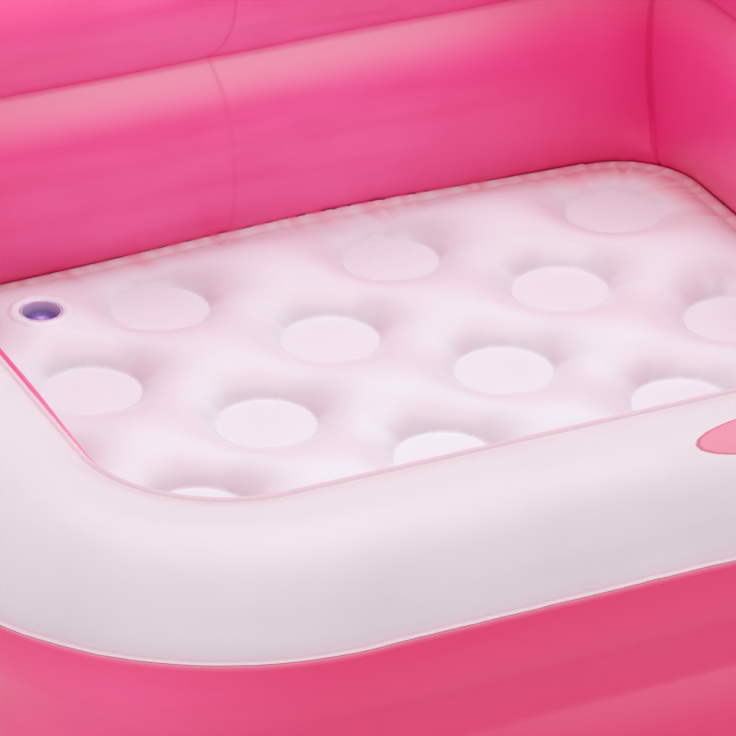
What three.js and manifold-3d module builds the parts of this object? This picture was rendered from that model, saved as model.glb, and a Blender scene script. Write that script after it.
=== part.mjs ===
// Inflatable baby pool: two square air rings over a quilted air floor.
// Each of the three chambers has its own push-in valve.
// Millimetres, +Z up. The origin is on the ground under the middle, and the front wall is at -Y.

import * as THREE from "three";
import { mergeVertices } from "three/addons/utils/BufferGeometryUtils.js";
import Module from "manifold-3d";

const wasm = await Module();
wasm.setup();

// Overall sizes
const side = 850;
const height = 230;
const ringWidth = 124;
const cornerRadius = 110;
const webWidth = 36;
const webLevel = 115;
const bulgeLevel = 45;
const footWidth = 92;

// Vinyl film and its welds
const film = 0.8;
const gap = 0.3;
const finWidth = 4;
const marginWidth = 6;
const overrun = 8;

// Seams of the upper ring, in degrees above its middle
const outerSeamAngle = 15;
const innerSeamAngle = 60;

// The inner corners buckle into one upright crease where the rings are fullest
const creaseShare = 0.75;
const creaseStartShare = 0.66;
const creaseFullShare = 0.92;

// Quilted floor
const discPitch = 78;
const discRadius = 30;
const weldLevel = 10;
const pillowLevel = 31;
const saddleShare = 0.5;
const floorEdgeLevel = 8.5;
const floorEdgeRoom = 1.5;
const floorSlope = 60;
const rimInset = 11;

// Places of the valves
const floorValveLevel = 26;
const floorBossRadius = 24;
const ringValveOffset = 150;
const upperValveAngle = -24;
const lowerValveAngle = 30;

// Valve moulding: rim, cup and flange
const rimRadius = 13;
const rimRise = 0.6;
const cupBaseRadius = 12;
const cupWall = 1.2;
const cupDepth = 12;
const cupFloor = 1.5;
const flangeRadius = 18.5;
const flangeThickness = 1.2;

// Valve stem, which slides in the cup's floor
const stemRadius = 6.3;
const stemSink = 6.5;
const stemLength = 17;
const stemStopRadius = 8;
const stemStopThickness = 1.5;
const socketRadius = 4.3;
const socketDepth = 8;
const seatRadius = 3.2;
const seatThickness = 1;
const throatRadius = 5.1;

// Check flap, stopper and strap
const flapRadius = 4.2;
const flapThickness = 0.8;
const capRadius = 8;
const capThickness = 2;
const capRounding = 0.6;
const plugLength = 7;
const strapWidth = 4;
const strapThickness = 0.8;
const strapReach = 9.9;
const strapRootDepth = 3;

// Facets
const cornerSteps = 6;
const plainSteps = 1;
const quiltSteps = 8;
const discSides = 12;
const roundSides = 20;
const footSteps = 4;
const ringArcStep = 18;

const degree = Math.PI / 180;
const halfRing = ringWidth / 2;
const halfWeb = webWidth / 2;
const halfFoot = footWidth / 2;
const footLevel = film + gap;
const finReach = (halfRing + finWidth) * Math.cos(outerSeamAngle * degree);
const centreLine = side / 2 - Math.max(halfRing, finReach);
const floorReach = centreLine - floorEdgeOffset();
const quiltReach = floorReach - rimInset;
const lastRow = Math.floor((quiltReach - discRadius) / discPitch);

// The upper ring is an ellipse that ends at the web, and so is the top of the lower ring
const webSine = Math.sqrt(1 - (halfWeb / halfRing) ** 2);
const webAngle = Math.asin(webSine) / degree;
const upperRise = (height - webLevel) / (1 + webSine);
const upperMiddle = height - upperRise;
const lowerRise = (webLevel - bulgeLevel) / webSine;

const materials = {
  whiteVinyl: finish(0xe9dde5, 0.3),
  pinkVinyl: finish(0xe5598f, 0.28),
  clearVinyl: finish(0xf0c4d6, 0.32),
  pearlVinyl: finish(0xede3eb, 0.34),
  valveVinyl: finish(0xa37db2, 0.4),
  stopperVinyl: finish(0x6f4aa0, 0.4),
};

function finish(color, roughness) {
  return new THREE.MeshStandardMaterial({ color, roughness, metalness: 0 });
}

// Solids from closed geometry, and back
function toSolid(geometry) {
  const bare = geometry.clone();
  bare.deleteAttribute("normal");
  bare.deleteAttribute("uv");
  const merged = mergeVertices(bare);
  return new wasm.Manifold(
    new wasm.Mesh({
      numProp: 3,
      vertProperties: merged.attributes.position.array,
      triVerts: merged.index.array,
    }),
  );
}

function toGeometry(solid) {
  const mesh = solid.getMesh();
  const geometry = new THREE.BufferGeometry();
  geometry.setAttribute("position", new THREE.BufferAttribute(mesh.vertProperties, 3));
  geometry.setIndex(new THREE.BufferAttribute(mesh.triVerts, 1));
  return geometry;
}

function facets(points, triangles) {
  const geometry = new THREE.BufferGeometry();
  geometry.setAttribute("position", new THREE.Float32BufferAttribute(points.flat(), 3));
  geometry.setIndex(triangles.flat());
  return geometry;
}

// The rings' centre line seen from above: four round corners joined by straight sides
function stations(sideSteps) {
  const list = [];
  const reach = centreLine - cornerRadius;
  const corners = [
    [1, 1],
    [-1, 1],
    [-1, -1],
    [1, -1],
  ];
  corners.forEach(([sx, sy], corner) => {
    for (let step = 0; step <= cornerSteps; step++) {
      list.push({ x: sx * reach, y: sy * reach, turn: (corner + step / cornerSteps) * 90 });
    }
    const [nextX, nextY] = corners[(corner + 1) % corners.length];
    for (let step = 1; step < sideSteps; step++) {
      const share = step / sideSteps;
      list.push({
        x: (sx + (nextX - sx) * share) * reach,
        y: (sy + (nextY - sy) * share) * reach,
        turn: (corner + 1) * 90,
      });
    }
  });
  return list;
}

// How much of the corner crease a point of the section takes: all where the rings are fullest
// in the basin, and none on top or down at the floor
function creaseAt(offset, z) {
  const start = creaseStartShare * halfRing;
  const full = creaseFullShare * halfRing;
  const fullness = THREE.MathUtils.smoothstep(-offset, start, full);
  return fullness * THREE.MathUtils.smoothstep(z, floorEdgeLevel, bulgeLevel);
}

// The plan point that lies an offset outside the centre line, drawn towards a square corner by the crease
function place(station, offset, crease) {
  const along = Math.cos(station.turn * degree);
  const across = Math.sin(station.turn * degree);
  const square = 1 / Math.max(Math.abs(along), Math.abs(across));
  const reach = (cornerRadius + offset) * (1 + creaseShare * crease * (square - 1));
  return [station.x + reach * along, station.y + reach * across];
}

// A line moved to its left, with mitred bends
function moveLeft(line, distance) {
  const normals = line.slice(1).map(([u, z], index) => {
    const [du, dz] = [u - line[index][0], z - line[index][1]];
    const length = Math.hypot(du, dz);
    return [-dz / length, du / length];
  });
  return line.map(([u, z], index) => {
    const before = normals[Math.max(index - 1, 0)];
    const after = normals[Math.min(index, normals.length - 1)];
    const mitre = distance / (1 + before[0] * after[0] + before[1] * after[1]);
    return [u + (before[0] + after[0]) * mitre, z + (before[1] + after[1]) * mitre];
  });
}

// A sheet of film swept round the pool, from the line of its outer face
function sweptSheet(line) {
  const inner = moveLeft(line, film);
  const creases = line.map(([offset, z]) => creaseAt(offset, z));
  const profile = [...line, ...inner.reverse()];
  return sweep(profile, [...creases, ...[...creases].reverse()]);
}

function sweep(profile, creases) {
  const loop = stations(plainSteps);
  const points = [];
  const triangles = [];
  const count = profile.length;
  loop.forEach((station, s) => {
    profile.forEach(([offset, z], p) => {
      points.push([...place(station, offset, creases[p]), z]);
      const a = s * count + p;
      const b = s * count + ((p + 1) % count);
      const c = ((s + 1) % loop.length) * count + p;
      const d = ((s + 1) % loop.length) * count + ((p + 1) % count);
      triangles.push([a, c, d], [a, d, b]);
    });
  });
  return facets(points, triangles);
}

// Arcs of the ring section: sideways is 1 on the outside of the pool and -1 in the basin
function upperPoint(angle, sideways = 1) {
  const turn = angle * degree;
  return [sideways * halfRing * Math.cos(turn), upperMiddle + upperRise * Math.sin(turn)];
}

function lowerPoint(angle, sideways = 1) {
  const turn = angle * degree;
  return [sideways * halfRing * Math.cos(turn), bulgeLevel + lowerRise * Math.sin(turn)];
}

function footPoint(angle, sideways = 1) {
  const turn = angle * degree;
  const offset = halfFoot + (halfRing - halfFoot) * Math.cos(turn);
  return [sideways * offset, bulgeLevel - (bulgeLevel - footLevel) * Math.sin(turn)];
}

function arc(point, from, to, sideways) {
  const steps = Math.max(2, Math.round(Math.abs(to - from) / ringArcStep));
  const list = [];
  for (let step = 0; step <= steps; step++) {
    list.push(point(from + ((to - from) * step) / steps, sideways));
  }
  return list;
}

// The lower ring's wall from its foot up to the web, with the margin that is welded to the base
function lowerWall(sideways) {
  const foot = [];
  for (let step = 0; step < footSteps; step++) {
    foot.push(footPoint(90 * (1 - step / footSteps), sideways));
  }
  const margin = [sideways * (halfFoot - marginWidth), footLevel];
  return [margin, ...foot, ...arc(lowerPoint, 0, webAngle, sideways)];
}

const filmTurn = (film + gap / 2) / halfRing / degree;

// The end of a sheet at a seam: a corner on the ring's section and the tip of its fin.
// Beside is how far the sheet's outer face lies from the seam, positive towards larger angles.
function finAt(angle, beside) {
  const [u, z] = upperPoint(angle);
  const [out, up] = [Math.cos(angle * degree), Math.sin(angle * degree)];
  const corner = [u - up * beside, z + out * beside];
  return { corner, tip: [corner[0] + out * finWidth, corner[1] + up * finWidth] };
}

// Outer wall, from the foot up to its fin
function outerWallLine() {
  const fin = finAt(outerSeamAngle, -film - gap / 2);
  const upper = arc(upperPoint, -webAngle, outerSeamAngle - filmTurn);
  return [...lowerWall(1), ...upper.slice(1, -1), fin.corner, fin.tip];
}

// Top sheet, from the outer fin over the ring to the inner fin
function topSheetLine() {
  const outer = finAt(outerSeamAngle, film + gap / 2);
  const inner = finAt(180 - innerSeamAngle, -film - gap / 2);
  const rise = arc(upperPoint, outerSeamAngle + filmTurn, 90);
  const fall = arc(upperPoint, 90, 180 - innerSeamAngle - filmTurn);
  return [outer.tip, outer.corner, ...rise.slice(1), ...fall.slice(1, -1), inner.corner, inner.tip];
}

// Inner wall, from its fin down both rings to the foot
function innerWallLine() {
  const seamAngle = 180 - innerSeamAngle;
  const fin = finAt(seamAngle, film + gap / 2);
  const upper = arc(upperPoint, seamAngle + filmTurn, 180 + webAngle);
  return [fin.tip, fin.corner, ...upper.slice(1), ...lowerWall(-1).reverse().slice(1)];
}

function webProfile() {
  const crease = [lowerPoint(webAngle - ringArcStep), lowerPoint(webAngle), upperPoint(ringArcStep - webAngle)];
  const edge = moveLeft(crease, film)[1][0] - gap;
  const lower = webLevel - film / 2;
  const upper = webLevel + film / 2;
  return [
    [-edge, lower],
    [edge, lower],
    [edge, upper],
    [-edge, upper],
  ];
}

// The plan of the quilt: one cell round each welded disc, then loops out to the sheet's edge
function quiltPlan(loops) {
  const points = [];
  const seen = new Map();
  const triangles = [];
  const open = new Map();
  const add = (x, y) => {
    const key = x.toFixed(3) + " " + y.toFixed(3);
    if (!seen.has(key)) {
      seen.set(key, points.length);
      points.push([x, y]);
    }
    return seen.get(key);
  };
  const within = (value) => THREE.MathUtils.clamp(value, -quiltReach, quiltReach);
  for (let row = -lastRow; row <= lastRow; row++) {
    for (let column = -lastRow; column <= lastRow; column++) {
      if ((row + column) % 2 === 0) addCell(column, row);
    }
  }

  function addCell(column, row) {
    const [x, y] = [column * discPitch, row * discPitch];
    const crests = [
      [within(x + discPitch), y],
      [x, within(y + discPitch)],
      [within(x - discPitch), y],
      [x, within(y - discPitch)],
    ];
    const border = [];
    const disc = [];
    const perSide = discSides / crests.length;
    for (let k = 0; k < discSides; k++) {
      const from = crests[Math.floor(k / perSide)];
      const to = crests[(Math.floor(k / perSide) + 1) % crests.length];
      const share = (k % perSide) / perSide;
      border.push(add(from[0] + (to[0] - from[0]) * share, from[1] + (to[1] - from[1]) * share));
      const turn = ((k * 360) / discSides) * degree;
      disc.push(add(x + discRadius * Math.cos(turn), y + discRadius * Math.sin(turn)));
    }
    const middle = add(x, y);
    for (let k = 0; k < discSides; k++) {
      const next = (k + 1) % discSides;
      triangles.push([middle, disc[k], disc[next]]);
      triangles.push([disc[k], border[k], border[next]], [disc[k], border[next], disc[next]]);
      if (open.get(border[next]) === border[k]) open.delete(border[next]);
      else open.set(border[k], border[next]);
    }
  }

  let edge = rimOf(open);
  for (const loop of loops) {
    const outer = loop.map(([x, y]) => add(x, y));
    stitch(points, triangles, edge, outer);
    edge = outer;
  }
  return { points, triangles, edge };
}

// The open border edges, chained into one loop
function rimOf(open) {
  const start = open.keys().next().value;
  const rim = [start];
  for (let at = open.get(start); at !== start; at = open.get(at)) rim.push(at);
  return rim;
}

// Fills the band between two loops that both run anticlockwise round the middle
function stitch(points, triangles, inner, outer) {
  const angle = (index) => Math.atan2(points[index][1], points[index][0]);
  const turnFrom = (list) => {
    const first = list.reduce((best, index, at) => (angle(index) < angle(list[best]) ? at : best), 0);
    const turned = [...list.slice(first), ...list.slice(0, first)];
    return { turned, angles: [...turned.map(angle), angle(turned[0]) + 2 * Math.PI] };
  };
  const a = turnFrom(inner);
  const b = turnFrom(outer);
  let [i, j] = [0, 0];
  while (i < inner.length || j < outer.length) {
    const [p, q] = [a.turned[i % inner.length], b.turned[j % outer.length]];
    const stepInner = j >= outer.length || (i < inner.length && a.angles[i + 1] < b.angles[j + 1]);
    if (stepInner) triangles.push([p, q, a.turned[(i + 1) % inner.length]]);
    else triangles.push([p, q, b.turned[(j + 1) % outer.length]]);
    if (stepInner) i++;
    else j++;
  }
}

// Cuts a ring of points round one point of the plan, so that a flat boss fits there
function addBoss(plan, x, y, radius) {
  const centre = plan.points.findIndex((point) => Math.hypot(point[0] - x, point[1] - y) < gap);
  const ring = new Map();
  const onRing = (index) => {
    if (!ring.has(index)) {
      const [px, py] = plan.points[index];
      const share = radius / Math.hypot(px - x, py - y);
      ring.set(index, plan.points.length);
      plan.points.push([x + (px - x) * share, y + (py - y) * share]);
    }
    return ring.get(index);
  };
  plan.triangles = plan.triangles.flatMap((triangle) => {
    const at = triangle.indexOf(centre);
    if (at < 0) return [triangle];
    const [p, q] = [triangle[(at + 1) % 3], triangle[(at + 2) % 3]];
    const [innerP, innerQ] = [onRing(p), onRing(q)];
    return [
      [centre, innerP, innerQ],
      [innerP, p, q],
      [innerP, q, innerQ],
    ];
  });
}

// A sheet of film laid over the plan at the height that a rule gives
function quiltSheet(plan, levelOf) {
  const count = plan.points.length;
  const levels = plan.points.map(([x, y]) => levelOf(x, y));
  const top = plan.points.map(([x, y], index) => [x, y, levels[index]]);
  const under = plan.points.map(([x, y], index) => [x, y, levels[index] - film]);
  const triangles = [];
  for (const [a, b, c] of plan.triangles) {
    triangles.push([a, b, c], [count + a, count + c, count + b]);
  }
  plan.edge.forEach((a, index) => {
    const b = plan.edge[(index + 1) % plan.edge.length];
    triangles.push([a, count + a, count + b], [a, count + b, b]);
  });
  return facets([...top, ...under], triangles);
}

// 1 on a disc's centre, 0 on a pillow's crest, and the saddle's share between two discs
function discNearness(x, y) {
  const wave = Math.cos((Math.PI * x) / discPitch) * Math.cos((Math.PI * y) / discPitch);
  return wave < 0 ? saddleShare * (1 + wave) : saddleShare + (1 - saddleShare) * wave;
}

function onDisc(x, y) {
  const column = Math.round(x / discPitch);
  const row = Math.round(y / discPitch);
  const near = Math.hypot(x - column * discPitch, y - row * discPitch) < discRadius + gap;
  const welded = Math.max(Math.abs(column), Math.abs(row)) <= lastRow;
  return near && welded && (column + row) % 2 === 0;
}

function floorLevel(x, y) {
  if (onDisc(x, y)) return weldLevel;
  if (Math.hypot(x - floorValveX, y - floorValveY) < floorBossRadius + gap) return floorValveLevel;
  const inset = floorReach - Math.max(Math.abs(x), Math.abs(y));
  const share = THREE.MathUtils.clamp(inset / floorSlope, 0, 1);
  const quilt = pillowLevel - (pillowLevel - weldLevel) * discNearness(x, y);
  return floorEdgeLevel + (quilt - floorEdgeLevel) * share;
}

function baseLevel(x, y) {
  const raised = weldLevel - film - gap;
  if (onDisc(x, y)) return raised;
  const inset = centreLine - halfRing - rimInset - Math.max(Math.abs(x), Math.abs(y));
  const share = THREE.MathUtils.clamp(inset / floorSlope, 0, 1);
  return film + (raised - film) * discNearness(x, y) ** 2 * share;
}

// Where the floor's edge meets the wall
function floorEdgeOffset() {
  const drop = (bulgeLevel - floorEdgeLevel) / (bulgeLevel - footLevel);
  return halfFoot + (halfRing - halfFoot) * Math.sqrt(1 - drop ** 2) + floorEdgeRoom;
}

function planLoop(offset) {
  return stations(quiltSteps).map((station) => place(station, offset, 0));
}

// Round solids about the valve's axis, from a closed profile of radius and height
function turned(profile) {
  const closed = profile[0][0] > 0 ? [...profile, profile[0]] : profile;
  const shape = closed.map(([radius, z]) => new THREE.Vector2(radius, z));
  const geometry = new THREE.LatheGeometry(shape, roundSides);
  return geometry.rotateX(90 * degree);
}

function post(radius, low, high) {
  return turned([
    [0, low],
    [radius, low],
    [radius, high],
    [0, high],
  ]);
}

const stemTop = -stemSink;
const stemBottom = stemTop - stemLength;
const seatTop = stemTop - socketDepth;
const seatBottom = seatTop - seatThickness;
const flapTop = seatBottom - gap;
const capBottom = stemTop + gap;

function valveCup() {
  const floorTop = -cupDepth;
  const floorBottom = floorTop - cupFloor;
  const holeRadius = stemRadius + gap;
  return turned([
    [holeRadius, floorBottom],
    [cupBaseRadius, floorBottom],
    [rimRadius, 0],
    [rimRadius, rimRise],
    [rimRadius - cupWall, rimRise],
    [cupBaseRadius - cupWall, floorTop],
    [holeRadius, floorTop],
  ]);
}

function valveStem() {
  const stopTop = stemBottom + stemStopThickness;
  return turned([
    [throatRadius, stemBottom],
    [stemStopRadius, stemBottom],
    [stemStopRadius, stopTop],
    [stemRadius, stopTop],
    [stemRadius, stemTop],
    [socketRadius, stemTop],
    [socketRadius, seatTop],
    [seatRadius, seatTop],
    [seatRadius, seatBottom],
    [throatRadius, seatBottom],
  ]);
}

function valveStopper() {
  const capTop = capBottom + capThickness;
  const plugRadius = socketRadius - gap;
  const plugBottom = capBottom - plugLength;
  return turned([
    [0, plugBottom],
    [plugRadius - capRounding, plugBottom],
    [plugRadius, plugBottom + capRounding],
    [plugRadius, capBottom],
    [capRadius, capBottom],
    [capRadius, capTop - capRounding],
    [capRadius - capRounding, capTop],
    [0, capTop],
  ]);
}

// The strap runs from the stem's side out and back to the stopper's edge
function valveStrap() {
  const root = stemTop - strapRootDepth;
  const end = capBottom + capThickness / 2 - capRounding;
  const bend = strapReach - strapThickness;
  const line = [
    [stemRadius + gap, root],
    [bend, root],
    [strapReach, root + strapThickness],
    [strapReach, end - strapThickness],
    [bend, end],
    [capRadius + gap, end],
  ];
  const inner = moveLeft(line, strapThickness).reverse();
  const outline = new THREE.Shape([...line, ...inner].map(([x, z]) => new THREE.Vector2(x, z)));
  const band = new THREE.ExtrudeGeometry(outline, { depth: strapWidth, bevelEnabled: false });
  return band.translate(0, 0, -strapWidth / 2).rotateX(90 * degree);
}

// A valve's frame: its origin is on the film's outer face and its +Z points out of the chamber
function valveFrame(x, y, z, tilt) {
  const frame = new THREE.Group();
  frame.position.set(x, y, z);
  frame.rotation.x = (tilt - 90) * degree;
  frame.updateMatrixWorld();
  return frame;
}

// The floor valve is on the pillow beside the back left corner's disc
const floorValveX = (1 - lastRow) * discPitch;
const floorValveY = lastRow * discPitch;

function ringValveFrame(x, point, angle, rise) {
  const [offset, z] = point(angle);
  const lean = Math.atan2(Math.sin(angle * degree) / rise, Math.cos(angle * degree) / halfRing);
  return valveFrame(x, centreLine + offset, z, lean / degree);
}

const upperLine = arc(upperPoint, -webAngle, outerSeamAngle - filmTurn);

const valves = [
  {
    name: "floor",
    frame: valveFrame(floorValveX, floorValveY, floorValveLevel, 90),
  },
  {
    name: "upper_ring",
    frame: ringValveFrame(ringValveOffset, upperPoint, upperValveAngle, upperRise),
    line: upperLine,
  },
  {
    name: "lower_ring",
    frame: ringValveFrame(-ringValveOffset, lowerPoint, lowerValveAngle, lowerRise),
    line: lowerWall(1),
  },
];

// The flange is welded under the film: flat in the floor, curved with the ring's wall
function valveFlange(valve) {
  const depth = film + gap;
  const ring = toSolid(post(flangeRadius, -overrun, overrun)).subtract(
    toSolid(post(rimRadius - cupWall / 2, -overrun - gap, overrun + gap)),
  );
  if (!valve.line) {
    return ring.intersect(toSolid(post(flangeRadius + gap, -depth - flangeThickness, -depth)));
  }
  const outer = moveLeft(valve.line, depth);
  const inner = moveLeft(valve.line, depth + flangeThickness).reverse();
  const outline = new THREE.Shape([...outer, ...inner].map(([u, z]) => new THREE.Vector2(u, z)));
  const width = 2 * (flangeRadius + gap);
  const band = new THREE.ExtrudeGeometry(outline, { depth: width, bevelEnabled: false });
  band.translate(0, 0, -width / 2);
  // The section's first axis points out of the pool along +Y, and its length lies along X
  const axes = new THREE.Matrix4().makeBasis(
    new THREE.Vector3(0, 1, 0),
    new THREE.Vector3(0, 0, 1),
    new THREE.Vector3(1, 0, 0),
  );
  band.applyMatrix4(axes).translate(valve.frame.position.x, centreLine, 0);
  band.applyMatrix4(valve.frame.matrixWorld.clone().invert());
  return ring.intersect(toSolid(band));
}

function valveBase(valve) {
  return toGeometry(toSolid(valveCup()).add(valveFlange(valve)));
}

// The hole in the film that a valve's rim stands in
function valveHole(valve) {
  const hole = post(rimRadius + gap, -overrun, overrun);
  return toSolid(hole.applyMatrix4(valve.frame.matrixWorld));
}

function pierced(geometry, names) {
  const holes = valves.filter((valve) => names.includes(valve.name)).map(valveHole);
  return toGeometry(holes.reduce((solid, hole) => solid.subtract(hole), toSolid(geometry)));
}

function floorSheet() {
  const plan = quiltPlan([planLoop(-floorEdgeOffset())]);
  addBoss(plan, floorValveX, floorValveY, floorBossRadius);
  return quiltSheet(plan, floorLevel);
}

function baseSheet() {
  const plan = quiltPlan([planLoop(-halfFoot), planLoop(halfFoot)]);
  return quiltSheet(plan, baseLevel);
}

const pool = new THREE.Group();

function addPiece(parent, name, geometry, material) {
  const mesh = new THREE.Mesh(geometry, material);
  mesh.name = name;
  parent.add(mesh);
}

addPiece(pool, "top_sheet", sweptSheet(topSheetLine()), materials.whiteVinyl);
addPiece(pool, "inner_wall_sheet", sweptSheet(innerWallLine()), materials.pinkVinyl);
addPiece(
  pool,
  "outer_wall_sheet",
  pierced(sweptSheet(outerWallLine()), ["upper_ring", "lower_ring"]),
  materials.pinkVinyl,
);
addPiece(pool, "ring_web", sweep(webProfile(), [0, 0, 0, 0]), materials.clearVinyl);
addPiece(pool, "base_sheet", baseSheet(), materials.pinkVinyl);
addPiece(pool, "floor_top_sheet", pierced(floorSheet(), ["floor"]), materials.pearlVinyl);

for (const valve of valves) {
  const name = valve.name + "_valve_";
  addPiece(valve.frame, name + "base", valveBase(valve), materials.valveVinyl);
  addPiece(valve.frame, name + "stem", valveStem(), materials.valveVinyl);
  const flap = post(flapRadius, flapTop - flapThickness, flapTop);
  addPiece(valve.frame, name + "flap", flap, materials.stopperVinyl);
  addPiece(valve.frame, name + "stopper", valveStopper(), materials.stopperVinyl);
  addPiece(valve.frame, name + "strap", valveStrap(), materials.stopperVinyl);
  pool.add(valve.frame);
}

export default pool;
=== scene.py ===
from math import cos, pi, radians, sin, sqrt, tan

import bmesh
import bpy
import numpy as np
from mathutils import Matrix, Vector


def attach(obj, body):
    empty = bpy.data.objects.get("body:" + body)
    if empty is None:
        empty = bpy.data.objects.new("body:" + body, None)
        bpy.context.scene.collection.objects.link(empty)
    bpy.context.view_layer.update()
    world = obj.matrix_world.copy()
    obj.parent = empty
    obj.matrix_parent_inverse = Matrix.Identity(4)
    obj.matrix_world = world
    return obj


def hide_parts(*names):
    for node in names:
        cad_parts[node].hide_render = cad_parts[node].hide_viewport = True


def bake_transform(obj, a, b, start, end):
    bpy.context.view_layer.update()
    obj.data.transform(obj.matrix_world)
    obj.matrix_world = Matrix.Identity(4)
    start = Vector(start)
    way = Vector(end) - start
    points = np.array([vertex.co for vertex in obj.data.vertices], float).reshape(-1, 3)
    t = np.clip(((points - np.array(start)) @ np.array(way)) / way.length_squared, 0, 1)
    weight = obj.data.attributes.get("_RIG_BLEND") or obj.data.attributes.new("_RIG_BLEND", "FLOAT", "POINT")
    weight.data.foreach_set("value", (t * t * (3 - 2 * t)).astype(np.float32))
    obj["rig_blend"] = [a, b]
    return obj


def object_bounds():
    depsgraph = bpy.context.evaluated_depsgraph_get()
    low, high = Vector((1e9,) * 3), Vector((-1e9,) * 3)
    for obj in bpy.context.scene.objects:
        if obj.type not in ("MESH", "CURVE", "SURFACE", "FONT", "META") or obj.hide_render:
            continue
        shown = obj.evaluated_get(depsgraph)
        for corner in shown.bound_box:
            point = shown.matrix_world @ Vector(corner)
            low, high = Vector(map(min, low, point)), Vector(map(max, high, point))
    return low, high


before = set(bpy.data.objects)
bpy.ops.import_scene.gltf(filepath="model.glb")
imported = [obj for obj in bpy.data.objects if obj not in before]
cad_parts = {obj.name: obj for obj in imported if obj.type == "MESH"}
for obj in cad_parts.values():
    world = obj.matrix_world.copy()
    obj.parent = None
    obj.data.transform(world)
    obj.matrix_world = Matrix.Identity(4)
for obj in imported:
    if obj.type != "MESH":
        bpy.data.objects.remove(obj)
cadLow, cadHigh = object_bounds()
print("frame loaded,", len(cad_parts), "nodes")

# Sizes that all the films share, in metres and degrees
pool = {
    "halfWidth": 0.062,
    "cornerRadius": 0.110,
    "halfWeb": 0.018,
    "webLevel": 0.115,
    "bulgeLevel": 0.045,
    "halfFoot": 0.046,
    "footLevel": 0.0011,
    "marginWidth": 0.006,
    "film": 0.0008,
    "gap": 0.0003,
    "finWidth": 0.004,
    "innerFinWidth": 0.0024,  # the inner seam's fin lies over, and so it stands lower
    "outerSeam": 15,
    "innerSeam": 120,
    "floorLevel": 0.0085,
    "basinWaist": 44,  # degrees round the upper ring, where the basin's wall creases
    "shoulderLevel": 0.072,  # the lower ring's basin wall is upright from its bulge up to here
    "upperValve": -24,  # degrees round each ring, and the outer wall's valley lies between them
    "lowerValve": 30,
    "sideFacing": 0.999,  # what faces this squarely along X or Y is on a straight side
}
halfWidth = pool["halfWidth"]
height = cadHigh.z
finReach = (halfWidth + pool["finWidth"]) * cos(radians(pool["outerSeam"]))
centreLine = cadHigh.x - max(halfWidth, finReach)
cornerAt = centreLine - pool["cornerRadius"]

# The upper ring is an ellipse that ends at the web, and so is the top of the lower ring
webSine = sqrt(1 - (pool["halfWeb"] / halfWidth) ** 2)
upperRise = (height - pool["webLevel"]) / (1 + webSine)
upperMiddle = height - upperRise
lowerRise = (pool["webLevel"] - pool["bulgeLevel"]) / webSine
basinWaistOffset = -halfWidth * cos(radians(pool["basinWaist"]))
basinWaistLevel = upperMiddle - upperRise * sin(radians(pool["basinWaist"]))


def clearSelection():
    if bpy.context.object and bpy.context.object.mode != "OBJECT":
        bpy.ops.object.mode_set(mode="OBJECT")
    bpy.ops.object.select_all(action="DESELECT")


def selectOnly(piece):
    clearSelection()
    piece.select_set(True)
    bpy.context.view_layer.objects.active = piece


def startEdit(piece):
    selectOnly(piece)
    bpy.ops.object.mode_set(mode="EDIT")


def endEdit():
    bpy.ops.object.mode_set(mode="OBJECT")


def selectAll():
    bpy.ops.mesh.select_all(action="SELECT")


def readPoints(piece, field="co"):
    flat = np.empty(len(piece.data.vertices) * 3)
    piece.data.vertices.foreach_get(field, flat)
    return flat.reshape(-1, 3)


def writePoints(piece, points):
    piece.data.vertices.foreach_set("co", points.ravel())
    piece.data.update()


def readMask(piece, name):
    values = np.empty(len(piece.data.vertices), dtype=np.float32)
    piece.data.attributes[name].data.foreach_get("value", values)
    return values


def writeMask(piece, name, values):
    layers = piece.data.attributes
    layer = layers.get(name) or layers.new(name, "FLOAT", "POINT")
    layer.data.foreach_set("value", values.astype(np.float32))


def smoothStep(values, low, high):
    share = np.clip((values - low) / (high - low), 0, 1)
    return share * share * (3 - 2 * share)


def bell(distance, width):
    return np.exp(-((distance / width) ** 2))


# Where points lie round the pool: their offset outside the centre line, the way that the wall
# faces there, their turn round the corners and how far along the straight sides they are
def planOf(points):
    x, y = points[:, 0], points[:, 1]
    heldX = np.clip(x, -cornerAt, cornerAt)
    heldY = np.clip(y, -cornerAt, cornerAt)
    reach = np.maximum(np.hypot(x - heldX, y - heldY), 1e-9)
    facing = np.stack([(x - heldX) / reach, (y - heldY) / reach, np.zeros(len(x))], axis=1)
    turn = np.arctan2(facing[:, 1], facing[:, 0]) % (2 * pi)
    side = sideOf(turn)
    down = np.choose(side, [heldY, -heldX, -heldY, heldX])
    straight = down + side * 2 * cornerAt
    held = np.stack([heldX, heldY, np.zeros(len(x))], axis=1)
    return reach - pool["cornerRadius"], facing, turn, straight, held


def sideOf(turn):
    return np.floor(turn / (pi / 2) + 1e-6).astype(int) % 4


def onSides(facing):
    return np.max(np.abs(facing), axis=1) > pool["sideFacing"]


def alongOf(turn, straight, radius):
    return straight + radius * turn


def loopLength(radius):
    return 8 * cornerAt + 2 * pi * radius


# An uneven wave that closes on itself round the pool, made of a few whole counts of waves
def waves(along, length, counts, seed):
    random = np.random.default_rng(seed)
    total = sum(np.sin(2 * pi * n * along / length + random.uniform(0, 2 * pi)) for n in counts)
    return total / sqrt(len(counts))


# In edit mode: the edges or faces that pass a test are selected, and cut smaller
def selectWhere(kind, test):
    bpy.ops.mesh.select_mode(type=kind)
    bpy.ops.mesh.select_all(action="DESELECT")
    mesh = bmesh.from_edit_mesh(bpy.context.object.data)
    for part in mesh.edges if kind == "EDGE" else mesh.faces:
        if test(part):
            part.select_set(True)
    bmesh.update_edit_mesh(bpy.context.object.data)


def refine(kind, cuts, test):
    selectWhere(kind, test)
    bpy.ops.mesh.subdivide(number_cuts=cuts, ngon=kind == "EDGE")


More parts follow.
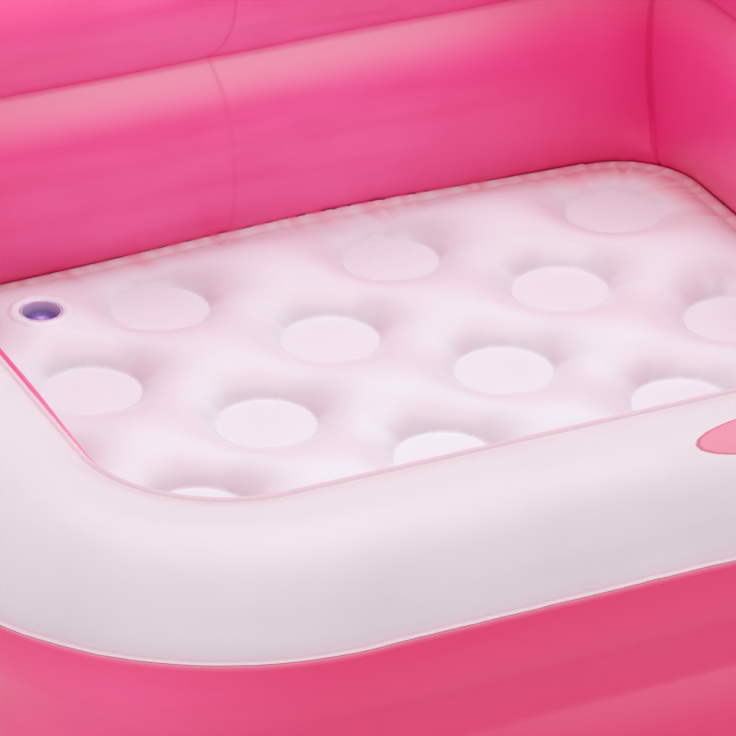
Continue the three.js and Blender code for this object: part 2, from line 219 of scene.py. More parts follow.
# A line drawn from point to point, ready in edit mode
def drawLine(name, points):
    clearSelection()
    bpy.ops.mesh.primitive_plane_add(size=0.001, location=points[0])
    piece = bpy.context.object
    piece.name = name
    bpy.ops.object.transform_apply(location=True, rotation=False, scale=False)
    bpy.ops.object.mode_set(mode="EDIT")
    bpy.ops.mesh.select_mode(type="VERT")
    selectAll()
    bpy.ops.mesh.merge(type="CENTER")
    for start, end in zip(points, points[1:]):
        step = Vector(end) - Vector(start)
        bpy.ops.mesh.extrude_vertices_move(TRANSFORM_OT_translate={"value": step})
    selectAll()
    return piece


def applyModifiers(piece):
    selectOnly(piece)
    for modifier in list(piece.modifiers):
        bpy.ops.object.modifier_apply(modifier=modifier.name)


def thicken(piece, thickness, even=True):
    solid = piece.modifiers.new("wall", "SOLIDIFY")
    solid.thickness = thickness
    solid.offset = -1
    solid.use_even_offset = even
    applyModifiers(piece)


def finishPiece(piece, material, body, replaced, angle=35):
    selectOnly(piece)
    bpy.ops.object.shade_smooth_by_angle(angle=radians(angle))
    piece.data.materials.clear()
    piece.data.materials.append(material)
    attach(piece, body)
    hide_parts(replaced)


# Shader helpers: a socket takes a plain value or another node's output
def addNode(tree, kind, **settings):
    node = tree.nodes.new(kind)
    for name, value in settings.items():
        setattr(node, name, value)
    return node


def feed(tree, socket, value):
    if isinstance(value, (int, float, tuple)):
        socket.default_value = value
    else:
        tree.links.new(value, socket)


def feedAll(tree, node, values):
    for name, value in values.items():
        feed(tree, node.inputs[name], value)


def mathNode(tree, operation, first, second=0.0):
    node = addNode(tree, "ShaderNodeMath", operation=operation)
    feed(tree, node.inputs[0], first)
    feed(tree, node.inputs[1], second)
    return node.outputs[0]


def mixColor(tree, share, first, second):
    node = addNode(tree, "ShaderNodeMix", data_type="RGBA")
    for place, value in ((0, share), (6, first), (7, second)):
        feed(tree, node.inputs[place], value)
    return node.outputs[2]


def ramp(tree, value, low, high, bottom=0.0, top=1.0):
    node = addNode(tree, "ShaderNodeMapRange", interpolation_type="SMOOTHSTEP")
    limits = {"From Min": low, "From Max": high, "To Min": bottom, "To Max": top}
    feedAll(tree, node, {"Value": value, **limits})
    return node.outputs["Result"]


def objectPlace(tree, scale):
    place = addNode(tree, "ShaderNodeTexCoord")
    mapping = addNode(tree, "ShaderNodeMapping")
    feedAll(tree, mapping, {"Scale": scale, "Vector": place.outputs["Object"]})
    return mapping.outputs["Vector"]


def noise(tree, vector, scale, detail):
    node = addNode(tree, "ShaderNodeTexNoise")
    feedAll(tree, node, {"Vector": vector, "Scale": scale, "Detail": detail})
    return node.outputs["Fac"]


def bump(tree, height, depth, strength, normal=None):
    node = addNode(tree, "ShaderNodeBump")
    feedAll(tree, node, {"Height": height, "Distance": depth, "Strength": strength})
    if normal:
        feed(tree, node.inputs["Normal"], normal)
    return node.outputs["Normal"]


# A group's sockets: a number stands for a value that starts there, and a word for its kind
def newGroup(name, inputs, outputs):
    group = bpy.data.node_groups.new(name, "ShaderNodeTree")
    for way, sockets in (("INPUT", inputs), ("OUTPUT", outputs)):
        for socketName, start in sockets.items():
            kind = start if isinstance(start, str) else "Float"
            socket = group.interface.new_socket(socketName, in_out=way, socket_type="NodeSocket" + kind)
            if kind == "Float":
                socket.default_value = start
    source = group.nodes.new("NodeGroupInput").outputs
    return group, source, group.nodes.new("NodeGroupOutput")


filmMarks = {
    "streakStretch": 9.0,  # streaks lie this much closer up the wall than along it
    "streakScale": 6.0,
    "streakRange": (0.42, 0.7),
    "cloudScale": 16.0,
    "cloudRange": (0.35, 0.75),
    "cloudRoughness": 0.08,
    "peelScale": 70.0,
    "peelDepth": 0.0006,
    "grainScale": 1400.0,
    "grainDepth": 0.0001,
    "ribPitch": 0.0016,
    "ribDepth": 0.00012,
    "ribStrength": 0.3,
}


# Blown vinyl's own surface: long streaks, cloudy mottling, a soft orange peel and a fine grain
def filmSurfaceGroup():
    floats = {"Streaks": 0.5, "Mottle": 0.5, "Roughness": 0.35, "Peel": 0.2, "Grain": 0.05}
    group, source, target = newGroup(
        "filmSurface",
        {"Colour": "Color", "Shade": "Color", **floats},
        {"Colour": "Color", "Roughness": 0.0, "Normal": "Vector"},
    )
    level = objectPlace(group, (1.0, 1.0, filmMarks["streakStretch"]))
    plain = objectPlace(group, (1.0, 1.0, 1.0))
    streak = ramp(group, noise(group, level, filmMarks["streakScale"], 3.0), *filmMarks["streakRange"])
    cloud = ramp(group, noise(group, plain, filmMarks["cloudScale"], 4.0), *filmMarks["cloudRange"])
    streaked = mathNode(group, "MULTIPLY", streak, source["Streaks"])
    mottled = mathNode(group, "MULTIPLY", cloud, source["Mottle"])
    shade = mathNode(group, "ADD", streaked, mottled)
    rougher = mathNode(group, "MULTIPLY", cloud, filmMarks["cloudRoughness"])
    coarse = noise(group, plain, filmMarks["peelScale"], 2.0)
    fine = noise(group, plain, filmMarks["grainScale"], 1.0)
    peel = bump(group, coarse, filmMarks["peelDepth"], source["Peel"])
    feedAll(group, target, {
        "Colour": mixColor(group, shade, source["Colour"], source["Shade"]),
        "Roughness": mathNode(group, "ADD", source["Roughness"], rougher),
        "Normal": bump(group, fine, filmMarks["grainDepth"], source["Grain"], peel),
    })
    return group


# The welding bar's fine ribs, which cross a seam at right angles
def weldRibsGroup():
    inputs = {"Mask": 0.0, "Pitch": filmMarks["ribPitch"], "Normal": "Vector"}
    group, source, target = newGroup("weldRibs", inputs, {"Normal": "Vector", "Ribs": 0.0})
    place = addNode(group, "ShaderNodeTexCoord")
    apart = addNode(group, "ShaderNodeSeparateXYZ")
    feed(group, apart.inputs[0], place.outputs["Object"])
    turn = mathNode(group, "DIVIDE", 2 * pi, source["Pitch"])
    across, down = (
        mathNode(group, "SINE", mathNode(group, "MULTIPLY", apart.outputs[axis], turn))
        for axis in ("X", "Y")
    )
    ribs = mathNode(group, "ADD", across, down)
    shown = mathNode(group, "MULTIPLY", ribs, source["Mask"])
    normal = bump(group, shown, filmMarks["ribDepth"], filmMarks["ribStrength"], source["Normal"])
    feedAll(group, target, {"Normal": normal, "Ribs": shown})
    return group


filmSurface = filmSurfaceGroup()
weldRibs = weldRibsGroup()


# A colour as it is seen, from 0 to 255, in the linear values that Blender reckons with
def colour(red, green, blue):
    shares = [part / 255 for part in (red, green, blue)]
    linear = [share / 12.92 if share <= 0.04045 else ((share + 0.055) / 1.055) ** 2.4 for share in shares]
    return (*linear, 1.0)


def mask(tree, name):
    return addNode(tree, "ShaderNodeAttribute", attribute_name=name).outputs["Fac"]


# What every vinyl starts from
filmLook = {
    "streaks": 0.1,
    "mottle": 0.4,
    "roughness": 0.34,
    "peel": 0.2,
    "grain": 0.1,
    "milky": 0.0,
    "milkyDepth": 0.004,
    "milkyTint": (1.0, 0.6, 0.7),
    "gloss": 0.2,
    "glossBlur": 0.15,
}
shaderSockets = {
    "Subsurface Weight": "milky",
    "Subsurface Scale": "milkyDepth",
    "Subsurface Radius": "milkyTint",
    "Coat Weight": "gloss",
    "Coat Roughness": "glossBlur",
}


# A material with the film's surface in place, open for what each vinyl adds
def newVinyl(name, look):
    material = bpy.data.materials.new(name)
    material.use_nodes = True
    material.diffuse_color = look["colour"]
    tree = material.node_tree
    shader = tree.nodes["Principled BSDF"]
    feedAll(tree, shader, {socket: look[key] for socket, key in shaderSockets.items()})
    surface = addNode(tree, "ShaderNodeGroup", node_tree=filmSurface)
    for socket in surface.inputs:
        socket.default_value = look[socket.name.lower()]
    for output in ("Roughness", "Normal"):
        feed(tree, shader.inputs[output], surface.outputs[output])
    return material, tree, shader, surface


# Colours laid over the film's own, one after another, where the piece's masks say
def paint(tree, surface, look, coats):
    body = surface.outputs["Colour"]
    for name, tint in coats.items():
        body = mixColor(tree, mask(tree, name), body, look[tint])
    return body


def addRibs(tree, shader, surface):
    ribs = addNode(tree, "ShaderNodeGroup", node_tree=weldRibs)
    feedAll(tree, ribs, {"Mask": mask(tree, "weld"), "Normal": surface.outputs["Normal"]})
    feed(tree, shader.inputs["Normal"], ribs.outputs["Normal"])


whiteLook = {
    **filmLook,
    "colour": colour(220, 205, 212),
    "shade": colour(211, 193, 202),
    "underTint": colour(246, 212, 224),
    "printColour": colour(222, 126, 152),
    "printEdge": colour(200, 90, 126),
    "edgeRange": (-0.012, 0.012),  # shares of an oval's depth over which its edge and fill set in
    "fillRange": (0.025, 0.07),
    "streaks": 0.25,
    "mottle": 0.35,
    "roughness": 0.36,
    "peel": 0.12,
    "milky": 0.15,
    "gloss": 0.15,
    "glossBlur": 0.3,
}


# White film with its welds tinted by the pink film below, and a plain oval printed on each side
def whiteVinyl():
    material, tree, shader, surface = newVinyl("whiteVinyl", whiteLook)
    body = paint(tree, surface, whiteLook, {"weld": "underTint"})
    printed = mask(tree, "print")
    edge = ramp(tree, printed, *whiteLook["edgeRange"])
    fill = ramp(tree, printed, *whiteLook["fillRange"])
    edged = mixColor(tree, edge, body, whiteLook["printEdge"])
    feed(tree, shader.inputs["Base Color"], mixColor(tree, fill, edged, whiteLook["printColour"]))
    addRibs(tree, shader, surface)
    return material


pinkLook = {
    **filmLook,
    "colour": colour(250, 92, 164),
    "shade": colour(243, 62, 140),
    # painted shade that deepens the walls towards the corners
    "shadeToneColour": colour(242, 34, 124),
    "shoulderHighlightColour": colour(252, 166, 194),  # painted highlight on the shoulders just under the crease
    # painted shade in creases, at the foot and round the seams; also the lap's dark line
    "paintedShadeColour": colour(228, 12, 102),
    "bounceColour": colour(250, 196, 216),  # softens the pink that the films throw on each other
    "bounceShare": 0.75,
    "weldColour": colour(250, 182, 208),
    "streaks": 0.45,
    "mottle": 0.35,
    "milky": 0.1,
    "gloss": 0.6,
    "glossBlur": 0.28,
}
outerLook = {
    **pinkLook,
    "colour": colour(238, 66, 134),
    "shade": colour(230, 46, 118),
    # painted shade, deepest along the outer wall's straight sides
    "shadeToneColour": colour(226, 20, 104),
}
pinkCoats = {"tone": "shadeToneColour", "shoulder": "shoulderHighlightColour", "fold": "paintedShadeColour", "weld": "weldColour"}


# Pink film: painted shade where it creases and folds, at its foot and round its seams, a darker line where
# its ends overlap, a painted highlight on its shoulders, painted shade that deepens its corners, and paler
# welds
def pinkVinyl(name, look):
    material, tree, shader, surface = newVinyl(name, look)
    body = paint(tree, surface, look, pinkCoats)
    rays = addNode(tree, "ShaderNodeLightPath")
    bounced = mathNode(tree, "MULTIPLY", rays.outputs["Is Diffuse Ray"], look["bounceShare"])
    feed(tree, shader.inputs["Base Color"], mixColor(tree, bounced, body, look["bounceColour"]))
    addRibs(tree, shader, surface)
    return material


# Pearl film gets painted rosy shade on its slopes, and a rosy strip where it is gathered along the wall that
# is partly its own tint and partly painted bounce and shade
pearlLook = {
    **filmLook,
    "colour": colour(237, 238, 246),
    "shade": colour(231, 230, 240),
    # painted rosy shade on the slopes
    "slopeShadeColour": colour(225, 211, 221),
    # the gathered strip's tint, which also carries painted bounce and shade
    "stripTintAndShadeColour": colour(252, 120, 148),
    # painted crimson shade where the film's edge meets the wall
    "edgeShadeColour": colour(246, 70, 126),
    "discColour": colour(237, 238, 246),
    "mottle": 0.5,
    "milky": 0.25,
    "milkyDepth": 0.006,
    "gloss": 0.3,
    "glossBlur": 0.2,
}
pearlCoats = {"slope": "slopeShadeColour", "disc": "discColour", "strip": "stripTintAndShadeColour", "edge": "edgeShadeColour"}
baseLook = {
    **filmLook,
    "colour": colour(228, 96, 148),
    "shade": colour(214, 74, 128),
    "mottle": 0.5,
    "roughness": 0.42,
    "peel": 0.3,
    "grain": 0.3,
}
clearLook = {
    **filmLook,
    "colour": colour(240, 196, 214),
    "shade": colour(232, 180, 202),
    "streaks": 0.2,
    "roughness": 0.32,
}
valveLook = {
    **filmLook,
    "colour": colour(214, 190, 222),
    "shade": colour(200, 174, 212),
    "cupShadeColour": colour(128, 98, 178),  # painted shade down in the cup
    "roughness": 0.36,
    "peel": 0.1,
    "grain": 0.3,
    "milky": 0.1,
    "gloss": 0.3,
}
stopperLook = {
    **filmLook,
    "colour": colour(104, 72, 164),
    "shade": colour(82, 52, 140),
    "buttonHighlightColour": colour(206, 186, 244),  # painted highlight on the button in the cap's middle
    "roughness": 0.3,
    "peel": 0.1,
    "grain": 0.3,
    "milky": 0.2,
    "gloss": 0.4,
}


# A vinyl that needs only its look and its coats of colour
def plainVinyl(name, look, coats):
    material, tree, shader, surface = newVinyl(name, look)
    feed(tree, shader.inputs["Base Color"], paint(tree, surface, look, coats))
    return material


materials = {
    "white_vinyl": whiteVinyl(),
    "pink_vinyl": pinkVinyl("pinkVinyl", pinkLook),
    "pearl_vinyl": plainVinyl("pearlVinyl", pearlLook, pearlCoats),
    "base_vinyl": plainVinyl("baseVinyl", baseLook, {}),
    "clear_vinyl": plainVinyl("clearVinyl", clearLook, {}),
    "valve_vinyl": plainVinyl("valveVinyl", valveLook, {"deep": "cupShadeColour"}),
    "stopper_vinyl": plainVinyl("stopperVinyl", stopperLook, {"thin": "buttonHighlightColour"}),
}
outerVinyl = pinkVinyl("outerPinkVinyl", outerLook)
print("materials made")


# The rings' section: offset outside the centre line and height, by angle
def upperPoint(angle, sideways=1):
    turn = radians(angle)
    return sideways * halfWidth * cos(turn), upperMiddle + upperRise * sin(turn)


def lowerPoint(angle, sideways=1):
    turn = radians(angle)
    return sideways * halfWidth * cos(turn), pool["bulgeLevel"] + lowerRise * sin(turn)


def footPoint(angle, sideways=1):
    turn = radians(angle)
    offset = pool["halfFoot"] + (halfWidth - pool["halfFoot"]) * cos(turn)
    return sideways * offset, pool["bulgeLevel"] - (pool["bulgeLevel"] - pool["footLevel"]) * sin(turn)


# The basin's wall above its upright part, up to the crease
def shoulderPoint(angle, sideways=1):
    turn = radians(angle)
    rise = (basinWaistLevel - pool["shoulderLevel"]) / sin(radians(pool["basinWaist"]))
    return sideways * halfWidth * cos(turn), pool["shoulderLevel"] + rise * sin(turn)


# The outer wall's waist: a soft valley that leaves each ring's curve at the height of its valve
def valleyOffset(levels):
    startOffset, start = lowerPoint(pool["lowerValve"])
    endOffset, end = upperPoint(pool["upperValve"])
    startSlope = -halfWidth / lowerRise * tan(radians(pool["lowerValve"]))
    endSlope = -halfWidth / upperRise * tan(radians(pool["upperValve"]))
    span = end - start
    share = np.clip((np.asarray(levels) - start) / span, 0, 1)
    back = 1 - share
    return (
        startOffset * back**2 * (1 + 2 * share)
        + endOffset * share**2 * (1 + 2 * back)
        + span * share * back * (startSlope * back - endSlope * share)
    )


def onValley(levels):
    return (levels > lowerPoint(pool["lowerValve"])[1]) & (levels < upperPoint(pool["upperValve"])[1])


# The rings' own curves, which meet at the web inside
def ringOffset(levels):
    lower = (levels - pool["bulgeLevel"]) / lowerRise
    upper = (levels - upperMiddle) / upperRise
    return halfWidth * np.sqrt(np.clip(1 - np.where(levels < pool["webLevel"], lower, upper) ** 2, 0, 1))


def arc(point, start, end, step, sideways=1):
    count = max(2, round(abs(end - start) / step))
    return [point(start + (end - start) * k / count, sideways) for k in range(count + 1)]


rings = {
    "arcStep": 3.4,  # degrees along the section
    "footStep": 11.25,
    "valleySteps": 22,
    "uprightSteps": 7,
    "finSteps": 3,
    "finStart": (1.008, 1.02),  # a fin sets in this far out, as a share of the ring's curve
    "finNear": 1.5,  # and lies this near to its seam, in widths of the fin
    "cornerSteps": 28,
    "sideSteps": 104,
    "foldBand": 7,  # degrees either side of a corner's fold that get a finer mesh
    "foldCuts": 4,
    "basinFlatness": 0.6,
    "creaseShare": 0.75,  # how much of a square corner the basin's corners take on
    "creaseSpan": (0.5, 0.86),
    "foldDepth": 0.0011,
    "foldWidth": 0.0012,
    "foldLine": 0.0009,
    "foldFoot": -7.5,  # degrees that a fold stands off its corner's middle at the foot
    "foldLean": 14,  # and how far it has leant back at the top
    "foldEase": 0.035,
    "foldCorner": 0.2,  # a fold keeps to the part of a corner past this share of its turn
    "foldStart": 0.004,
    "leastReach": 0.01,
}
wrinkles = {
    "swell": 0.0006,  # slow unevenness of the blown film
    "finWave": 0.00012,
    "finReach": 0.005,
    "seamPucker": 0.00007,
    "seamReach": 0.014,
    "waistPucker": 0.00045,
    "waistReach": 0.012,
    "seamClear": (0.002, 0.012),  # the film lies still from a weld to here, and near the floor
    "footClear": (0.004, 0.02),
    "waistShares": (0.6, 1.4),  # along the sides, and how much more in the corners
    "seamShares": (0.5, 1.5),
    "finCounts": (23, 41, 66, 97),  # whole counts of waves round the pool
    "seamCounts": (151, 189, 233),
    "swellCounts": (5, 9, 14, 22),
    "waistCounts": (118, 149, 187, 236),
    "puckerCounts": (131, 173, 211),
}
marks = {
    "finWelds": (0.7, 0.4),  # in the basin and outside, as are seamWidths and shoulders
    "seamWeld": 0.6,
    "seamWidths": (0.0034, 0.0022),
    # strengths of painted shade in the waist crease, at the foot, along a corner's fold and round the seams
    "waistShade": 0.3,
    "waistWidth": 0.002,
    "footShade": 0.6,
    "footTop": 0.024,
    "cornerFoldShade": 0.6,
    "seamShade": 0.8,
    "underWidth": 0.0035,
    "beneathPlace": 0.012,
    "beneathWidth": 0.006,
    # where the painted highlight lies under the crease, and how strong it is in the basin and outside
    "highlightSpan": (0.002, 0.038),
    "shoulderHighlights": (1, 0.15),
    "cornerHighlightCut": 0.8,
    "tonePlace": 0.10,  # painted shade deepens the walls this near to a corner
    "toneShares": (0.55, 0.45),
    "toneWidth": 0.02,
    "outerTone": 0.9,
}


# A weld's fin, straight out from the ring's curve and half a gap beside the weld
def finAt(angle, aside):
    turn = radians(angle)
    offset, level = upperPoint(angle)
    corner = (offset - sin(turn) * aside, level + cos(turn) * aside)
    width = pool["innerFinWidth"] if angle == pool["innerSeam"] else pool["finWidth"]
    steps = [width * k / rings["finSteps"] for k in range(rings["finSteps"] + 1)]
    return [(corner[0] + cos(turn) * out, corner[1] + sin(turn) * out) for out in steps]


beside = pool["film"] + pool["gap"] / 2
filmTurn = beside / halfWidth * 180 / pi


def footLine(sideways):
    margin = (sideways * (pool["halfFoot"] - pool["marginWidth"]), pool["footLevel"])
    foot = arc(footPoint, 90, 0, rings["footStep"], sideways)
    return [margin, *foot[:-1]]


def outerLine():
    lower = arc(lowerPoint, 0, pool["lowerValve"], rings["arcStep"])
    upper = arc(upperPoint, pool["upperValve"], pool["outerSeam"] - filmTurn, rings["arcStep"])
    levels = np.linspace(lower[-1][1], upper[0][1], rings["valleySteps"] + 1)[1:-1]
    valley = zip(valleyOffset(levels), levels)
    return [*footLine(1), *lower, *valley, *upper[:-1], *finAt(pool["outerSeam"], -beside)]


def topLine():
    start, end = pool["outerSeam"] + filmTurn, pool["innerSeam"] - filmTurn
    upper = arc(upperPoint, start, end, rings["arcStep"])
    return [*reversed(finAt(pool["outerSeam"], beside)), *upper[1:-1], *finAt(pool["innerSeam"], -beside)]


# The upper ring's basin side: the weld draws it flatter between the seam and its widest
def basinPoint(angle, sideways=1):
    offset, level = upperPoint(angle, sideways)
    seamOffset, seamLevel = upperPoint(pool["innerSeam"])
    share = min(max((level - upperMiddle) / (seamLevel - upperMiddle), 0), 1)
    chord = -halfWidth + (seamOffset + halfWidth) * share
    weight = rings["basinFlatness"] * share * share * (3 - 2 * share) * (angle < 180)
    return offset + (chord - offset) * weight, level


def innerLine():
    upper = arc(basinPoint, pool["innerSeam"] + filmTurn, 180 + pool["basinWaist"], rings["arcStep"])
    shoulder = arc(shoulderPoint, pool["basinWaist"], 0, rings["arcStep"], -1)
    levels = np.linspace(pool["shoulderLevel"], pool["bulgeLevel"], rings["uprightSteps"])[1:]
    upright = [(-halfWidth, level) for level in levels]
    foot = reversed(footLine(-1))
    return [*reversed(finAt(pool["innerSeam"], beside)), *upper[1:], *shoulder[1:], *upright, *foot]


# A film swept round the pool: its section turns each corner and runs down each side
def sweepFilm(name, line):
    piece = drawLine(name, [(centreLine + offset, cornerAt, level) for offset, level in line])
    for quarter in range(4):
        turn = Matrix.Rotation(quarter * pi / 2, 3, "Z")
        bpy.ops.mesh.spin(
            steps=rings["cornerSteps"],
            angle=-pi / 2,  # without a window a spin turns the other way
            center=turn @ Vector((cornerAt, cornerAt, 0)),
            axis=(0, 0, 1),
        )
        side = turn @ Vector((-2 * cornerAt, 0, 0))
        bpy.ops.mesh.extrude_region_move(TRANSFORM_OT_translate={"value": side})
    refine("EDGE", rings["sideSteps"] - 1, lambda edge: edge.calc_length() > cornerAt)
    selectAll()
    bpy.ops.mesh.remove_doubles(threshold=1e-5)
    refine("EDGE", rings["foldCuts"], inFold)
    selectAll()
    bpy.ops.mesh.normals_make_consistent(inside=False)
    endEdit()
    return piece


# Columns stand closer where a corner folds: an edge that runs round the pool there is cut
def inFold(edge):
    a, b = (end.co for end in edge.verts)
    middle = (a + b) / 2
    outX, outY = abs(middle.x) - cornerAt, abs(middle.y) - cornerAt
    if min(outX, outY) <= 0 or abs(a.z - b.z) > 1e-6:
        return False
    spread, other = (np.hypot(abs(end.x) - cornerAt, abs(end.y) - cornerAt) for end in (a, b))
    fromBisector = abs(np.arctan2(outY, outX) - pi / 4)
    return abs(spread - other) < 1e-5 and fromBisector < radians(rings["foldBand"])


# The face nearest to a point has to look the way that is given, or the film is turned inside out
def facePiece(piece, near, outward):
    closest = min(piece.data.polygons, key=lambda face: (face.center - Vector(near)).length)
    if closest.normal.dot(Vector(outward)) < 0:
        startEdit(piece)
        selectAll()
        bpy.ops.mesh.flip_normals()
        endEdit()


# How far each point is from a seam along the section, and whether it is on the fin
def seamNearness(offset, level, seam):
    across = offset / halfWidth
    up = (level - upperMiddle) / upperRise
    angle = np.degrees(np.arctan2(up, across)) % 360
    distance = np.abs((angle - seam + 180) % 360 - 180) * radians(1) * halfWidth
    distance = np.where(level < pool["webLevel"], 1.0, distance)
    near = distance < rings["finNear"] * pool["finWidth"]
    onFin = smoothStep(np.hypot(across, up), *rings["finStart"]) * near
    return distance, onFin


# Shapes a swept film as air and welding leave it
def sculptFilm(piece, seams, seed):
    points = readPoints(piece)
    offset, facing, turn, straight, held = planOf(points)
    level = points[:, 2]
    inBasin = offset < 0
    radius = pool["cornerRadius"]
    along = alongOf(turn, straight, radius)
    length = loopLength(radius)

    # The basin's corners fold into one upright crease
    creaseStart, creaseFull = rings["creaseSpan"]
    basin = smoothStep(-offset, creaseStart * halfWidth, creaseFull * halfWidth)
    crease = basin * smoothStep(level, pool["floorLevel"], pool["bulgeLevel"])
    square = 1 / np.maximum(np.abs(facing[:, 0]), np.abs(facing[:, 1]))
    reach = (radius + offset) * (1 + rings["creaseShare"] * crease * (square - 1))
    corner = np.sin(2 * turn) ** 2
    eased = 1 - np.exp(-np.maximum(level - pool["floorLevel"], 0) / rings["foldEase"])
    leant = turn + radians(1) * (rings["foldFoot"] + rings["foldLean"] * eased) * corner * basin
    facing = np.stack([np.cos(leant), np.sin(leant), np.zeros(len(level))], axis=1)
    placed = held + facing * reach[:, None]
    placed[:, 2] = level
    writePoints(piece, placed)
    normals = readPoints(piece, "normal")

    # Each seam's fin and weld run a little unevenly
    fromSeam = np.ones(len(level))
    fin = np.zeros(len(level))
    shift = np.zeros((len(level), 3))
    for seam in seams:
        distance, onFin = seamNearness(offset, level, seam)
        fromSeam = np.minimum(fromSeam, distance)
        fin = np.maximum(fin, onFin)
        wave = wrinkles["finWave"] * waves(along, length, wrinkles["finCounts"], seam)
        wave += wrinkles["seamPucker"] * waves(along, length, wrinkles["seamCounts"], seam + 1)
        push = wave * np.maximum(onFin, bell(distance, wrinkles["finReach"]))
        shift += facing * (-sin(radians(seam)) * push)[:, None]
        shift[:, 2] += cos(radians(seam)) * push

    # Slow swell, and puckers at the waist and the seams
    waistLevel = np.where(inBasin, basinWaistLevel, pool["webLevel"])
    waistOffset = np.where(inBasin, basinWaistOffset, valleyOffset(pool["webLevel"]))
    fromWaist = np.abs(level - waistLevel) + np.abs(offset - waistOffset)
    onSide, inTurn = wrinkles["waistShares"]
    gather = waves(along, length, wrinkles["waistCounts"], seed + 1) * (onSide + inTurn * corner)
    onSide, inTurn = wrinkles["seamShares"]
    puckers = waves(along, length, wrinkles["puckerCounts"], seed + 2) * (onSide + inTurn * corner)
    lift = wrinkles["swell"] * waves(along, length, wrinkles["swellCounts"], seed)
    lift += wrinkles["waistPucker"] * gather * np.exp(-fromWaist / wrinkles["waistReach"])
    lift += wrinkles["seamPucker"] * puckers * np.exp(-fromSeam / wrinkles["seamReach"])
    lift *= smoothStep(fromSeam, *wrinkles["seamClear"]) * (1 - fin)
    lift *= smoothStep(level, *wrinkles["footClear"])

    # A corner's fold is a groove on its bisector
    bisector = np.abs(turn % (pi / 2) - pi / 4) * np.maximum(reach, rings["leastReach"])
    inCorner = (corner > rings["foldCorner"]) * basin
    inCorner *= smoothStep(level, rings["foldStart"], pool["floorLevel"])
    lift -= rings["foldDepth"] * bell(bisector, rings["foldWidth"]) * inCorner
    shift += normals * lift[:, None]
    writePoints(piece, placed + shift)

    # Masks for the vinyl: its welds, its painted shade in folds, creases and round seams, its painted
    # highlight on the shoulders and its painted shade that deepens the corners
    seamLine = marks["seamWeld"] * bell(fromSeam, np.where(inBasin, *marks["seamWidths"])) * (1 - fin)
    writeMask(piece, "weld", np.maximum(np.where(inBasin, *marks["finWelds"]) * fin, seamLine))
    # Painted shade: in the waist crease, at the foot, along a corner's fold, under the outer fin and below
    # the inner seam
    waist = marks["waistShade"] * np.exp(-fromWaist / marks["waistWidth"]) * inBasin
    foot = marks["footShade"] * (1 - smoothStep(level, pool["floorLevel"], marks["footTop"])) * inBasin
    line = marks["cornerFoldShade"] * bell(bisector, rings["foldLine"]) * inCorner
    under = marks["seamShade"] * bell(fromSeam, marks["underWidth"]) * (offset > 0)
    beneath = marks["seamShade"] * bell(fromSeam - marks["beneathPlace"], marks["beneathWidth"])
    beneath *= inBasin * (level > basinWaistLevel)
    writeMask(piece, "fold", np.clip(line + waist + foot + under + beneath, 0, 1))
    far = np.where(onSides(facing), np.min(np.abs(points[:, :2]), axis=1), cornerAt)
    nearCorner = bell(np.maximum(cornerAt - far, 0), marks["tonePlace"])
    # Painted highlight on the shoulder just under the crease, fading downwards, faint outside and near the
    # corners
    fromTop = waistLevel - level
    shoulder = 1 - smoothStep(fromTop, *marks["highlightSpan"])
    shoulder *= smoothStep(fromTop, 0, marks["highlightSpan"][0]) * np.where(inBasin, *marks["shoulderHighlights"])
    writeMask(piece, "shoulder", shoulder * (1 - marks["cornerHighlightCut"] * nearCorner))
    # Painted shade that deepens the basin towards its corners, and the outer wall along its straight sides
    plain, close = marks["toneShares"]
    inside = nearCorner * (plain + close * np.exp(-bisector / marks["toneWidth"]))
    writeMask(piece, "tone", np.where(inBasin, inside, 1 - marks["outerTone"] * corner))
    return placed


lap = {
    "place": 0.002,  # the wall film's ends overlap here, on the back wall's basin side
    "middle": 0.055,
    "bow": 1.69,  # how fast the seam turns aside above and below its middle
    "lean": 0.012,
    "leanEase": 0.02,
    "reach": 0.017,
    "cuts": 4,
    "step": 0.0005,
    "width": 0.0015,
    "fallSpan": (0.004, 0.018),
    "footSpan": (0.006, 0.012),
    "grooveShare": 0.3,
    "pinch": 0.0012,
    "pinchWidth": 0.006,
    "pinchReach": 0.01,
    "lineShare": 0.14,  # how strongly the lap's dark line shows, overlap and painted shade, and how much more near the crease
    "topShare": 0.3,
    "topSpan": (0.085, 0.12),
    "lineWidth": 0.0009,
}


def refineLap(piece):
    def nearLap(edge):
        a, b = (end.co for end in edge.verts)
        level = abs(a.y - b.y) < 1e-6 and abs(a.z - b.z) < 1e-6
        return level and a.y > cornerAt and abs((a.x + b.x) / 2) < lap["reach"]

    startEdit(piece)
    refine("EDGE", lap["cuts"], nearLap)
    endEdit()


def addLap(piece):
    points = readPoints(piece)
    normals = readPoints(piece, "normal")
    level = np.minimum(points[:, 2], basinWaistLevel)
    above = points[:, 2] - level
    seamX = lap["place"] - lap["bow"] * (level - lap["middle"]) ** 2
    seamX += lap["lean"] * (1 - np.exp(-above / lap["leanEase"]))
    beyond = points[:, 0] - seamX
    width = lap["width"]
    onBack = (points[:, 1] > cornerAt) * smoothStep(points[:, 2], *lap["footSpan"])
    lift = lap["step"] * smoothStep(beyond, -width / 2, width / 2)
    lift *= 1 - smoothStep(beyond, *lap["fallSpan"])
    lift -= lap["grooveShare"] * lap["step"] * bell(beyond + width, width)
    nearWaist = np.exp(-np.abs(points[:, 2] - basinWaistLevel) / lap["pinchReach"])
    lift -= lap["pinch"] * bell(beyond, lap["pinchWidth"]) * nearWaist
    writePoints(piece, points + normals * (lift * onBack)[:, None])
    # The lap's dark line: the films overlap there, and painted shade adds to it, more near the crease
    faint = lap["lineShare"] + lap["topShare"] * smoothStep(level, *lap["topSpan"])
    line = faint * bell(beyond + width / 2, lap["lineWidth"]) * onBack
    writeMask(piece, "fold", np.clip(readMask(piece, "fold") + line, 0, 1))


